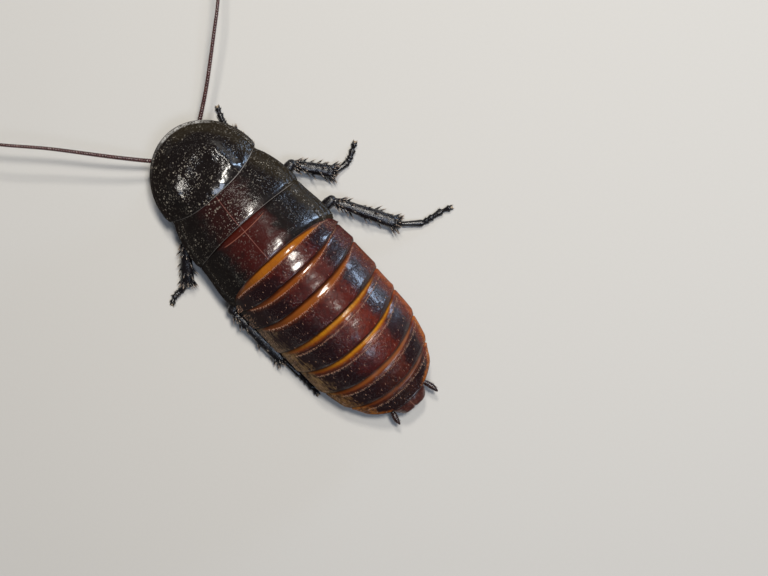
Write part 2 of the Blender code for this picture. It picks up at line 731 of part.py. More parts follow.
def cerci():
    made = []
    for side, word in ((1, "left"), (-1, "right")):
        root = Vector((swayed(3.7 * side, 58), 58.35, 2.6))
        steps = ((0.0, 0.0, 0.0), (0.25, 0.7, 0.05), (0.4, 1.4, 0.0), (0.45, 2.0, -0.1))
        path = [root + Vector((x * side, s, z)) for x, s, z in steps]
        sizes = [(0.5, 0.4), (0.55, 0.42), (0.42, 0.35), (0.25, 0.25)]
        made.append(limb("cercus_" + word, path, sizes, 8, "brown_chitin"))
    return made


def back():
    """The plates behind the pronotum, each starting where the one ahead of it ends."""
    names = list(REAR_EDGES)
    for ahead, name in zip(names, names[1:]):
        chitin, flatness = ("black_chitin", 1.1) if name.endswith("notum") else ("dark_red_chitin", 0.92)
        back_plate(name, REAR_EDGES[ahead], REAR_EDGES[name], chitin, flatness)


def belly():
    """The plates of the underside. The thorax's two are narrow, between the legs."""
    made = {}
    ahead = (13.2, 0.4, 2.0)
    for name, edge in BELLY_EDGES.items():
        inset = 3.8 if name.startswith("me") else 1.5
        made[name] = belly_plate(name, ahead, edge, inset, "brown_chitin")
        ahead = edge
    return made


def build():
    for old in list(bpy.data.objects):
        bpy.data.objects.remove(old)
    pronotum()
    trunk = prothorax()
    back()
    undersides = belly()
    undersides["prothorax"] = trunk
    supra_anal_plate()
    cerci()

    head = head_capsule()
    lips = mouth()
    eyes = []
    for side, word in ((1, "left"), (-1, "right")):
        place = Vector((EYE_PLACE.x * side, EYE_PLACE.y, EYE_PLACE.z))
        eyes.append(ellipsoid("eye_" + word, place, EYE_RADII, 12, 8, "eye_lens", 25))
    bases = [antenna(word)[0] for word in ANTENNA_ROUTES]
    make_room(trunk, [grown(head)])
    make_room(head, [grown(piece) for piece in (*eyes, *bases, *lips)])

    for segment, where in (("fore", "prothorax"), ("mid", "mesosternum"), ("hind", "metasternum")):
        pair = [leg_parts(name, leg) for name, leg in LEGS.items() if name.startswith(segment)]
        make_room(undersides[where], [cutter for cutters in pair for cutter in cutters])
    for made in bpy.context.scene.collection.objects:
        finish_round(made)


build()
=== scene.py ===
"""Looks of a life-size hissing cockroach that stands still on its six feet.

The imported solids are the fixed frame, and a finer piece takes the place of each: lapped plates with collars,
ridges and bristles, spined legs, ringed antennae, a head with eyes and mouthparts, and the belly. Shapes are
worked out in the body frame of the solids, in millimetres: x to the animal's left, s rearward from the front
rim of the shield, z up from the floor.
"""

import logging
import math
import random
from dataclasses import dataclass, field
from enum import Enum
from typing import Any, Iterable

import bmesh
import bpy
import numpy as np
from mathutils import Euler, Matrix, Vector, noise


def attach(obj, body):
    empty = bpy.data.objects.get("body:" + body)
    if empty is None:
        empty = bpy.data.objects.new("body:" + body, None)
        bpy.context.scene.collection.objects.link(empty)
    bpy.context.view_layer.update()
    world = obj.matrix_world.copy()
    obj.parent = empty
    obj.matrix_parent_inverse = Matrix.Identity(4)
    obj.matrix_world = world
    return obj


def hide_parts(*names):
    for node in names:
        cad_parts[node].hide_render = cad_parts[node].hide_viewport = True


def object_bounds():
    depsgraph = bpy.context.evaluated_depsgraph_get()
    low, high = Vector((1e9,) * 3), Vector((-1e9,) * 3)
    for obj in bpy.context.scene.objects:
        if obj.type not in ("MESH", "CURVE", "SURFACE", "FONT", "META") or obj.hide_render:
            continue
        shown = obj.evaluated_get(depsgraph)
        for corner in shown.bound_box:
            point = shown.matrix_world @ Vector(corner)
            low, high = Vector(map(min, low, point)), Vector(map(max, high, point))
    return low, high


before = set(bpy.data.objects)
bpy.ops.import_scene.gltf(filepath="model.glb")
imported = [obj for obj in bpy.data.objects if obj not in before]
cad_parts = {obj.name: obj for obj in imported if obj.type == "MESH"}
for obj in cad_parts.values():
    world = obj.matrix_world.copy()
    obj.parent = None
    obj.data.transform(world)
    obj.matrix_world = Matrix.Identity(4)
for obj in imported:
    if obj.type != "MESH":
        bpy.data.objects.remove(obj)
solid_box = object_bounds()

Array = np.ndarray
Colour = tuple[float, float, float]
Faces = list[tuple[int, ...]]
Profile = dict[float, float]
Edge = tuple[float, float, float]
Point = tuple[float, float, float]
SpineRow = tuple[float, int, float, float, float]

MM = 0.001
PLACE = np.array([-0.1, -16.8, 0.0])
UP = np.array([0.0, 0.0, 1.0])
log = logging.getLogger("cockroach")


class Slot(Enum):
    """The record's material slots."""

    BLACK = "black_chitin"
    DARK_RED = "dark_red_chitin"
    BROWN = "brown_chitin"
    LEG = "leg_chitin"
    ANTENNA = "antenna_chitin"
    EYE = "eye_lens"


class Side(Enum):
    """A side of the animal, with its direction along x."""

    LEFT = 1
    RIGHT = -1

    @property
    def word(self) -> str:
        """The side's name in node names."""
        return self.name.lower()


# Numbers along curves and grids


def flow(values: Array, at: Array | float) -> Array:
    """Values on a smooth curve through stations, at places counted in stations."""
    return hermite(np.arange(len(values), dtype=float), np.asarray(values, float), at)


def hermite(keys: Array, values: Array, at: Array | float) -> Array:
    """Values on a smooth curve through given ones, kept level past both ends.

    Args:
        keys: The places of the given values, in rising order.
        values: The given values, one or a row for each key.
        at: The places asked for.

    Returns:
        A value or a row for each place asked for.
    """
    at = np.clip(np.asarray(at, float), keys[0], keys[-1])
    last = len(keys) - 1
    i = np.clip(np.searchsorted(keys, at, "right") - 1, 0, last - 1)
    low, high = np.maximum(np.arange(last + 1) - 1, 0), np.minimum(np.arange(last + 1) + 1, last)
    wide = (keys[high] - keys[low]).reshape(-1, *[1] * (values.ndim - 1))
    slopes = (values[high] - values[low]) / wide
    span = keys[i + 1] - keys[i]
    t = (at - keys[i]) / span
    if values.ndim > 1:
        t, span = t[..., None], span[..., None]
    return (
        values[i] * (2 * t**3 - 3 * t**2 + 1)
        + slopes[i] * span * (t**3 - 2 * t**2 + t)
        + values[i + 1] * (3 * t**2 - 2 * t**3)
        + slopes[i + 1] * span * (t**3 - t**2)
    )


def through(places: Profile, at: Array | float) -> Array:
    """The smooth curve through a profile's values, at the places asked for."""
    keys = sorted(places)
    return hermite(np.array(keys, float), np.array([places[k] for k in keys], float), at)


def step(low: float, high: float, at: Array | float) -> Array:
    """A smooth step from 0 at low to 1 at high, which may lie below low."""
    t = np.clip((np.asarray(at, float) - low) / (high - low), 0, 1)
    return t * t * (3 - 2 * t)


def rounding(distance: Array, radius: float) -> Array:
    """How full a rounded edge is at a distance from it, from 0 on the edge to 1."""
    return np.sqrt(np.clip(1 - (1 - np.clip(distance / radius, 0, 1)) ** 2, 0, 1))


def closed(fullness: Array) -> Array:
    """A grid's fullness, made 0 along its border, where both faces of a shell meet.

    Args:
        fullness: From 0 where the faces meet to 1 where they are fully apart. It is changed in place.

    Returns:
        The same grid.
    """
    fullness[0] = fullness[-1] = 0.0
    fullness[:, 0] = fullness[:, -1] = 0.0
    return fullness


def bell(at: Array, width: float) -> Array:
    """A smooth bump of height 1 at 0."""
    return np.exp(-((at / width) ** 2))


def unit(vectors: Array) -> Array:
    """Vectors made one long."""
    return vectors / np.maximum(np.linalg.norm(vectors, axis=-1, keepdims=True), 1e-12)


def ripple(points: Array, size: float, octaves: int = 3, seed: float = 0.0) -> Array:
    """Smooth random values about 0 at points.

    Args:
        points: Points in millimetres.
        size: How wide the largest waves are, in millimetres.
        octaves: How many finer waves are added.
        seed: Moves the pattern.

    Returns:
        One value for each point, mostly from -0.5 to 0.5.
    """
    flat = points.reshape(-1, 3) / size + seed
    values = [noise.fractal(Vector(p), 1.0, 2.0, octaves) for p in flat.tolist()]
    return np.array(values).reshape(points.shape[:-1])


def granules(points: Array, size: float, seed: float = 0.0) -> Array:
    """Low round grains.

    Args:
        points: Points in millimetres.
        size: The grains' spacing, in millimetres.
        seed: Moves the pattern.

    Returns:
        One value for each point, from 0 between the grains to 1 on their tops.
    """
    flat = points.reshape(-1, 3) / size + seed
    values = [noise.voronoi(Vector(p))[0][0] for p in flat.tolist()]
    return np.clip(1 - np.array(values) * 1.6, 0, 1).reshape(points.shape[:-1])


# The body's sizes, which the solids follow too


@dataclass(frozen=True)
class Trunk:
    """The outline and profile of the body that the solids follow, in millimetres."""

    gap: float = 0.36
    plate_edge: float = 0.5
    shield_half_width: float = 9.6
    shield_centre: float = 9.8
    shield_reach: float = 10.2
    shield_power: float = 1.9
    shield_narrowing: float = 0.05
    tail: tuple[float, float, float, float] = (42.0, 17.3, 10.4, 2.15)

    def half_width(self, s: Array | float) -> Array:
        """Half the width of the body behind the shield.

        Args:
            s: Places along the body, in millimetres.

        Returns:
            Half the width at each of them.
        """
        middle, reach, half, power = self.tail
        ahead = through(HALF_WIDTHS, s)
        share = np.clip((np.asarray(s, float) - middle) / reach, 0, 0.995)
        behind = half * (1 - share**power) ** (1 / power)
        return np.where(np.asarray(s) <= middle, ahead, behind)

    def edge(self, edge: Edge, x: Array | float) -> Array:
        """How far back a plate's rear edge lies at x from the trunk's middle."""
        middle, lead, power = edge
        return middle - lead * (np.abs(x) / self.half_width(middle - lead)) ** power

    def swayed(self, x: Array, s: Array, rise: Array | float = 0.0) -> Array:
        """x moved with the bend of the trunk at s and, by rise from 0 to 1, with the lean of the back."""
        return x + through(TRUNK_SWAY, s) + through(BACK_LEAN, s) * rise


HALF_WIDTHS: Profile = {
    11: 9.1, 13: 9.8, 16: 10.5, 19: 10.75, 21: 10.85, 25: 11.2, 28: 10.95, 33: 10.9, 38: 10.7, 42: 10.4,
}
TRUNK_SWAY: Profile = {26: 0.0, 36: -0.15, 46: -0.35, 59: -0.4}
BACK_LEAN: Profile = {8: 0.0, 16: 0.5, 28: 0.5, 36: 0.2, 46: 0.0}
MARGIN_HEIGHTS: Profile = {0: 5.8, 10: 5.2, 20: 5.0, 28: 4.75, 40: 4.4, 50: 3.8, 60: 3.0}
BACK_HEIGHTS: Profile = {
    10: 10.1, 13: 10.5, 19: 11.1, 26: 11.7, 31: 12.0, 36: 12.05,
    41: 11.8, 46: 10.9, 51: 9.2, 55: 7.3, 58: 5.5,
}
BELLY_HEIGHTS: Profile = {12: 3.1, 19: 2.7, 27: 2.1, 32: 1.3, 38: 1.0, 46: 1.0, 52: 1.3, 57: 2.2}
REAR_EDGES: dict[str, Edge] = {
    "pronotum": (13.2, 2.3, 3.0),
    "mesonotum": (19.4, 0.0, 3.0),
    "metanotum": (26.5, -1.45, 4.0),
    "tergite_1": (31.0, 2.0, 3.0),
    "tergite_2": (35.1, 2.3, 2.9),
    "tergite_3": (40.4, 1.9, 2.5),
    "tergite_4": (45.8, 2.8, 2.5),
    "tergite_5": (50.8, 2.6, 2.5),
    "tergite_6": (54.9, 2.1, 2.3),
    "tergite_7": (58.3, 2.4, 2.4),
}
BELLY_EDGES: dict[str, Edge] = {
    "mesosternum": (19.2, 0.0, 2.0),
    "metasternum": (27.4, -0.6, 2.0),
    "sternite_2": (32.4, 0.4, 2.0),
    "sternite_3": (37.4, 0.5, 2.0),
    "sternite_4": (42.4, 0.7, 2.0),
    "sternite_5": (47.2, 1.0, 2.0),
    "sternite_6": (51.6, 1.4, 2.0),
    "sternite_7": (57.0, 2.6, 2.0),
}
TRUNK = Trunk()


# Shader maths


class Value:
    """A socket of a material. Arithmetic on it adds Math nodes."""

    def __init__(self, surface: "Surface", socket: bpy.types.NodeSocket | None) -> None:
        """Wraps an output socket of a node of the surface, or None for a node without one."""
        self.surface = surface
        self.socket = socket

    def maths(self, operation: str, *terms: "Value | float") -> "Value":
        """A Math node of this operation on the terms, in their order."""
        return self.surface.node("ShaderNodeMath", {"operation": operation}, dict(enumerate(terms)))

    def __add__(self, other: "Value | float") -> "Value":
        """The sum."""
        return self.maths("ADD", self, other)

    __radd__ = __add__

    def __sub__(self, other: "Value | float") -> "Value":
        """This less the other."""
        return self.maths("SUBTRACT", self, other)

    def __rsub__(self, other: float) -> "Value":
        """The other less this."""
        return self.maths("SUBTRACT", other, self)

    def __mul__(self, other: "Value | float") -> "Value":
        """The product."""
        return self.maths("MULTIPLY", self, other)

    __rmul__ = __mul__

    def __abs__(self) -> "Value":
        """This without its sign."""
        return self.maths("ABSOLUTE", self)

    def step(self, low: float, high: float) -> "Value":
        """A smooth step from 0 to 1.

        Args:
            low: The value at which it is 0.
            high: The value at which it is 1, which may lie below low.

        Returns:
            The step.
        """
        return self.surface.node(
            "ShaderNodeMapRange",
            {"interpolation_type": "SMOOTHSTEP"},
            {"Value": self, "From Min": low, "From Max": high},
        )

    def most(self, other: "Value | float") -> "Value":
        """The larger of the two."""
        return self.maths("MAXIMUM", self, other)


class Surface:
    """A material under construction. Sizes are in millimetres of the part."""

    def __init__(self, name: str) -> None:
        """Starts an empty material.

        Args:
            name: Its name.
        """
        self.material = bpy.data.materials.new(name)
        self.material.use_nodes = True
        self.tree = self.material.node_tree
        self.tree.nodes.clear()

    def node(
        self,
        kind: str,
        settings: dict[str, Any] | None = None,
        values: dict[str | int, Any] | None = None,
        output: str | int = 0,
    ) -> Value:
        """Adds a node.

        Args:
            kind: The node's type.
            settings: Its properties, which are set first.
            values: A value or a link for each input socket, by name or number.
            output: The output socket that is returned.

        Returns:
            The output socket, wrapped.
        """
        made = self.tree.nodes.new(kind)
        for name, setting in (settings or {}).items():
            setattr(made, name, setting)
        for key, value in (values or {}).items():
            socket = made.inputs[key]
            if isinstance(value, Value):
                self.tree.links.new(value.socket, socket)
            elif socket.type == "RGBA" and len(value) == 3:
                socket.default_value = (*value, 1.0)
            else:
                socket.default_value = value
        return Value(self, made.outputs[output] if made.outputs else None)

    def paint(self, name: str) -> Value:
        """A value that the mesh holds for each of its points."""
        return self.node("ShaderNodeAttribute", {"attribute_name": name}, output="Fac")

    def place(self, size: float, stretch: Colour = (1.0, 1.0, 1.0)) -> Value:
        """The point's place in the part.

        Args:
            size: The unit that it is given in, in millimetres.
            stretch: How many times longer the unit is along each axis.

        Returns:
            The place.
        """
        factors = tuple(1 / (MM * size * k) for k in stretch)
        found = self.node("ShaderNodeTexCoord", output="Object")
        return self.node("ShaderNodeVectorMath", {"operation": "MULTIPLY"}, {0: found, 1: factors})

    def grain(self, size: float, detail: float = 2.0, stretch: Colour = (1.0, 1.0, 1.0)) -> Value:
        """Cloudy noise.

        Args:
            size: How wide the clouds are, in millimetres.
            detail: How many finer layers are added.
            stretch: How many times longer the clouds are along each axis.

        Returns:
            The noise, mostly from 0.2 to 0.8.
        """
        where = self.place(size, stretch)
        return self.node(
            "ShaderNodeTexNoise", {}, {"Vector": where, "Scale": 1.0, "Detail": detail, "Roughness": 0.6}
        )

    def cells(self, size: float, stretch: Colour = (1.0, 1.0, 1.0), output: str = "Distance") -> Value:
        """How far the point is from the middle of its cell, or the cell's own random colour."""
        where = self.place(size, stretch)
        return self.node("ShaderNodeTexVoronoi", {}, {"Vector": where, "Scale": 1.0}, output)

    def specks(self, size: float, radius: float, share: float, seed: float = 1.0) -> Value:
        """Small specks of uneven outline.

        Args:
            size: The spacing of the places where a speck may lie.
            radius: A speck's mean radius, as a share of the spacing.
            share: The share of these places that hold one.
            seed: Makes another pattern at another value near 1.

        Returns:
            1 on a speck and 0 elsewhere.
        """
        stretch = (seed, seed, seed)
        ragged = (self.grain(size * 0.4, 1.0) - 0.5) * (radius * 2.4)
        near = (self.cells(size, stretch) + ragged).step(radius, radius * 0.6)
        chance = self.node(
            "ShaderNodeSeparateColor", {}, {"Color": self.cells(size, stretch, "Color")}, output="Red"
        )
        return near * chance.step(1 - share, 1 - share + 0.02)

    def blend(self, factor: Value | float, first: Value | Colour, second: Value | Colour) -> Value:
        """A colour between two."""
        return self.node("ShaderNodeMix", {"data_type": "RGBA"}, {0: factor, 6: first, 7: second}, 2)

    def bump(self, height: Value, depth: float, normal: Value | None = None) -> Value:
        """A normal for a relief.

        Args:
            height: The relief, from 0 to 1.
            depth: How deep it is, in millimetres.
            normal: A normal that it is laid over.

        Returns:
            The normal.
        """
        values: dict[str | int, Any] = {"Height": height, "Distance": depth * MM, "Strength": 1.0}
        if normal is not None:
            values["Normal"] = normal
        return self.node("ShaderNodeBump", {}, values, "Normal")

    def shade(self, dull: Value | None = None, **values: Any) -> bpy.types.Material:
        """Ends the material with a Principled shader.

        Args:
            dull: Where the surface turns matt, from 0 to 1.
            values: The shader's inputs. An underscore in a keyword stands for a space.

        Returns:
            The material.
        """
        inputs = {key.replace("_", " "): value for key, value in values.items()}
        shader = self.node("ShaderNodeBsdfPrincipled", {}, inputs)
        if dull is not None:
            flat = {"Base Color": inputs["Base Color"], "Roughness": 0.75, "Specular IOR Level": 0.06}
            matt = self.node("ShaderNodeBsdfPrincipled", {}, flat)
            shader = self.node("ShaderNodeMixShader", {}, {0: dull, 1: shader, 2: matt})
        self.node("ShaderNodeOutputMaterial", {}, {"Surface": shader})
        return self.material


# Finishes

BLACK: Colour = (0.0068, 0.0048, 0.0045)
# Painted shade for the left half of the back plates' fields, away from the lamps.
SHADED_LEFT: Colour = (0.011, 0.0035, 0.0045)
WINE: Colour = (0.038, 0.0055, 0.0045)
MAROON: Colour = (0.043, 0.0052, 0.0045)
# Painted light for the right half of those fields, towards the lamps.
LIT_RED_BROWN: Colour = (0.12, 0.013, 0.0035)
ORANGE: Colour = (0.32, 0.085, 0.007)
RUST: Colour = (0.27, 0.055, 0.006)
OLIVE: Colour = (0.27, 0.16, 0.068)
FLESH: Colour = (0.42, 0.155, 0.095)
DUST: Colour = (0.5, 0.45, 0.37)
# A dark tone for the left margins of the first two plates.
DARK_LEFT_MARGIN: Colour = (0.016, 0.011, 0.007)


class PlateSkin(Surface):
    """The material of a back plate under construction, with the values that the plate's mesh holds.

    Attributes:
        across: How far a point lies to the animal's left, in millimetres.
        behind: How far it lies behind the plate's visible front.
        ahead: How far it lies ahead of the rear edge.
        side: How far it lies inside the margin.
        past: How far it lies behind the collar.
        fine: Fine noise.
        mottle: Cloudy noise about 0.
    """

    def __init__(self, name: str, cloud_size: float, fine_size: float) -> None:
        """Starts the material.

        Args:
            name: The material's name.
            cloud_size: The width of the cloudy noise's clouds, in millimetres.
            fine_size: The width of the fine noise's, in millimetres.
        """
        super().__init__(name)
        self.across, self.behind, self.ahead = (self.paint(key) for key in ("across", "behind", "ahead"))
        self.side, self.past = self.paint("side"), self.paint("past_collar")
        self.fine = self.grain(fine_size, 3.0)
        self.cloudy = self.grain(cloud_size, 4.0)
        self.mottle = self.cloudy - 0.5


@dataclass(frozen=True)
class PlateFinish:
    """The finish of one back plate of the hind body: collar, ridge line, field, blotches and rims."""

    name: str
    collar: Colour
    centre: Colour = MAROON
    # How strongly painted light lightens the right half of the field.
    glow: float = 0.5
    blotch: float = 0.9
    rim: Colour = RUST
    rim_strength: float = 0.7
    left_rim: Colour = OLIVE
    ridge_line: float = 0.6
    soft: float = 0.25
    dust: float = 0.5
    rear_rim: float = 0.0
    left_strength: float = 0.8
    gloss: float = 0.8
    relief: float = 0.045
    collar_coat: float = 0.5
    collar_rough: float = 0.17
    calm: float = 0.0
    collar_calm: float = 0.0
    shadow: float = 0.22
    blotch_tone: Colour = (0.007, 0.0035, 0.005)
    border_tone: Colour = (0.1, 0.012, 0.0035)
    # Painted shade along the left margin.
    grime: Colour = (0.008, 0.006, 0.005)
    lint_tone: Colour = (0.2, 0.16, 0.11)
    collar_stripe: Colour = (0.2, 0.045, 0.006)
    collar_shadow: Colour = (0.03, 0.006, 0.003)
    # Painted shade over the left part of the collar.
    collar_left: Colour = (0.075, 0.02, 0.005)
    collar_stain: Colour = (0.16, 0.035, 0.006)
    fleck_tone: Colour = (0.3, 0.17, 0.13)
    rear_shadow: Colour = (0.01, 0.005, 0.004)
    cloud_tone: Colour = (0.011, 0.004, 0.005)

    def field_tone(self, skin: PlateSkin, right: Value) -> Value:
        """The field's colour, with painted shade over the left half, painted light over the right one, and its
        blotches.

        Args:
            skin: The material.
            right: 1 on the right half and 0 on the left.

        Returns:
            The colour.
        """
        across, side, mottle = skin.across, skin.side, skin.mottle
        # Painted shade: the left half of the field is darkened.
        left_half = (across.step(-1.5, 4.5) + mottle * 1.4).step(0.2, 0.9)
        tone = skin.blend(left_half, self.centre, SHADED_LEFT)
        # Painted light: the right half of the field is lightened to red-brown.
        glow = (across.step(0.8, -3.5) + mottle * 1.2).step(0.1, 1.0) * side.step(1.0, 4.5) * self.glow
        tone = skin.blend(glow, tone, LIT_RED_BROWN)
        blotch = side.step(6.4, 3.6) * side.step(0.8, 2.4) + mottle * 1.3
        return skin.blend(blotch.step(0.2, 1.0) * self.blotch * right, tone, self.blotch_tone)

    def rim_tone(self, skin: PlateSkin, right: Value, tone: Value) -> Value:
        """The rusty rims of the right and the rear, and the left margin: darkened by painted shade, then worn
        and linty.

        Args:
            skin: The material.
            right: 1 on the right half and 0 on the left.
            tone: The colour under them.

        Returns:
            The colour with the rims.
        """
        side, mottle, left_half = skin.side, skin.mottle, 1 - right
        border = side.step(2.3, 0.5) * right + mottle * 0.8
        tone = skin.blend(border.step(0.2, 1.0) * self.rim_strength, tone, self.border_tone)
        rim = side.step(1.2, 0.05) * right
        rim = rim + skin.ahead.step(1.1, 0.1) * abs(skin.across).step(1.5, 5.0) * self.rear_rim
        rim = (rim + (skin.fine - 0.5) * 0.7 + mottle * 0.7).step(0.2, 1.0)
        tone = skin.blend(rim * self.rim_strength, tone, self.rim)
        streaks = skin.grain(0.22, 3.0, (1.0, 7.0, 1.0)) - 0.5
        # Painted shade: a dark band along the left margin, on the side away from the lamps.
        left = side.step(2.0, 0.4) * left_half
        tone = skin.blend(left.step(0.2, 1.0) * 0.85, tone, self.grime)
        worn = side.step(3.8, 1.0) * left_half
        worn = worn + (streaks * 3.2 + mottle * 2.4) * side.step(6.0, 2.5) * left_half
        worn = worn.step(0.2, 1.3) * self.left_strength
        tone = skin.blend(worn, tone, self.left_rim)
        lint = skin.specks(0.4, 0.24, 0.5) * left.most(worn)
        return skin.blend(lint * 0.4, tone, self.lint_tone)

    def collar_tone(self, skin: PlateSkin, stripes: Value, tone: Value) -> Value:
        """The amber collar, shaded under the plate ahead, darkened by painted shade towards the left and dull
        towards the right end.

        Args:
            skin: The material.
            stripes: Noise drawn out along the body.
            tone: The colour of the rest of the plate.

        Returns:
            The colour with the collar.
        """
        across, past, side, mottle = skin.across, skin.past, skin.side, skin.mottle
        amber = skin.blend((stripes - 0.5).step(-0.15, 0.15) * 0.55, self.collar, self.collar_stripe)
        shaded = (skin.behind - mottle * 0.3).step(self.shadow * 1.6, self.shadow * 0.3)
        amber = skin.blend(shaded * 0.9, amber, self.collar_shadow)
        amber = skin.blend(across.step(-7.5, -9.5) * 0.6, amber, MAROON)
        # Painted shade: the collar darkens towards the left, away from the lamps.
        amber = skin.blend(across.step(1.5, 8.0) * 0.75, amber, self.collar_left)
        amber = skin.blend((mottle * 1.6).step(0.05, 0.4) * 0.5, amber, self.collar_stain)
        tone = skin.blend(past.step(self.soft, -self.soft * 0.4) * side.step(0.5, 2.0), tone, amber)
        seeping = past.step(-0.1, 0.1) * past.step(0.9, 0.1) * self.soft * side.step(1, 3)
        return skin.blend(seeping, tone, RUST)

    def flecks(self, skin: PlateSkin) -> Value:
        """The pale flecks behind the collar: many small ones in patches, and a few larger ones.

        Args:
            skin: The material.

        Returns:
            The factor, from 0 to 1.
        """
        patches = (skin.grain(3.0, 2.0) - 0.5).step(-0.15, 0.1)
        small = skin.specks(0.3, 0.32, 0.4) * (0.12 + patches * 0.4)
        return small.most(skin.specks(0.7, 0.18, 0.3, 1.1) * 0.8) * skin.past.step(0.05, 0.4) * self.dust

    def matt(self, skin: PlateSkin, right: Value, field: Value) -> Value:
        """Where the plate is matt: at both margins, and over calm stretches of the back.

        Args:
            skin: The material.
            right: 1 on the right half and 0 on the left.
            field: 1 behind the collar and 0 on it.

        Returns:
            The factor, from 0 to 1.
        """
        across, side = skin.across, skin.side
        margins = side.step(2.0, 0.4) * right * 0.4
        margins = margins + (side.step(5.6, 2.6) + skin.mottle * 0.5).step(0.0, 1.0) * (1 - right) * 0.92
        calm = field * self.calm + (1 - field) * self.collar_calm
        return margins.most(across.step(1.0, -0.5) * across.step(-6.3, -4.6) * calm)

    def make(self) -> bpy.types.Material:
        """Builds the material.

        Returns:
            The finished material.
        """
        skin = PlateSkin(self.name, cloud_size=1.6, fine_size=0.3)
        ridge = abs(skin.paint("ridge"))
        right = skin.across.step(0.8, -0.8)
        stripes = skin.grain(0.35, 2.0, (0.3, 5.0, 1.0))
        tone = self.rim_tone(skin, right, self.field_tone(skin, right))
        tone = self.collar_tone(skin, stripes, tone)

        beads = skin.cells(0.26).step(0.5, 0.15)
        line = ridge.step(0.13, 0.04) * (0.2 + beads * 0.8) * self.ridge_line
        line = line * (skin.side + right).step(1.2, 3.0)
        tone = skin.blend(line, tone, FLESH)
        flecks = self.flecks(skin)
        tone = skin.blend(flecks, tone, self.fleck_tone)
        tone = skin.blend(skin.ahead.step(0.16, 0.05) * 0.85, tone, self.rear_shadow)
        field = skin.past.step(0.0, 0.4)
        clouds = (skin.grain(0.65, 4.0) - 0.5).step(-0.06, 0.14) * field
        tone = skin.blend(clouds * 0.5, tone, self.cloud_tone)

        pits = skin.cells(0.24).step(0.0, 0.5) * field
        relief = pits * 0.8 + skin.fine * field * 0.9 + stripes * (1 - field) * 0.25
        normal = skin.bump(relief, self.relief)
        normal = skin.bump(beads * ridge.step(0.3, 0.05), 0.05, normal)
        rough = self.collar_rough + field * (0.34 - self.gloss * 0.16 - self.collar_rough)
        return skin.shade(
            self.matt(skin, right, field),
            Base_Color=tone,
            Roughness=rough + skin.mottle * 0.14 + line * 0.25 + flecks * 0.3,
            Coat_Weight=self.collar_coat + field * (self.gloss * 0.3 - self.collar_coat),
            Coat_Roughness=0.12,
            Specular_IOR_Level=0.33,
            Normal=normal,
        )


@dataclass(frozen=True)
class Polish:
    """The glossy stretch along a thorax plate's rear edge, in millimetres from that edge and across."""

    strength: float = 0.0
    reach: float = 1.0
    inner_end: float = 0.0
    outer_end: float = -6.0

    def on(self, skin: PlateSkin) -> Value:
        """Where the plate is glossy.

        Args:
            skin: The material.

        Returns:
            The factor, from 0 to 1.
        """
        band = skin.ahead.step(self.reach * 1.25, self.reach * 0.8)
        band = band * skin.across.step(self.outer_end - 1.0, self.outer_end + 0.8)
        return band * skin.across.step(self.inner_end + 0.8, self.inner_end) * self.strength


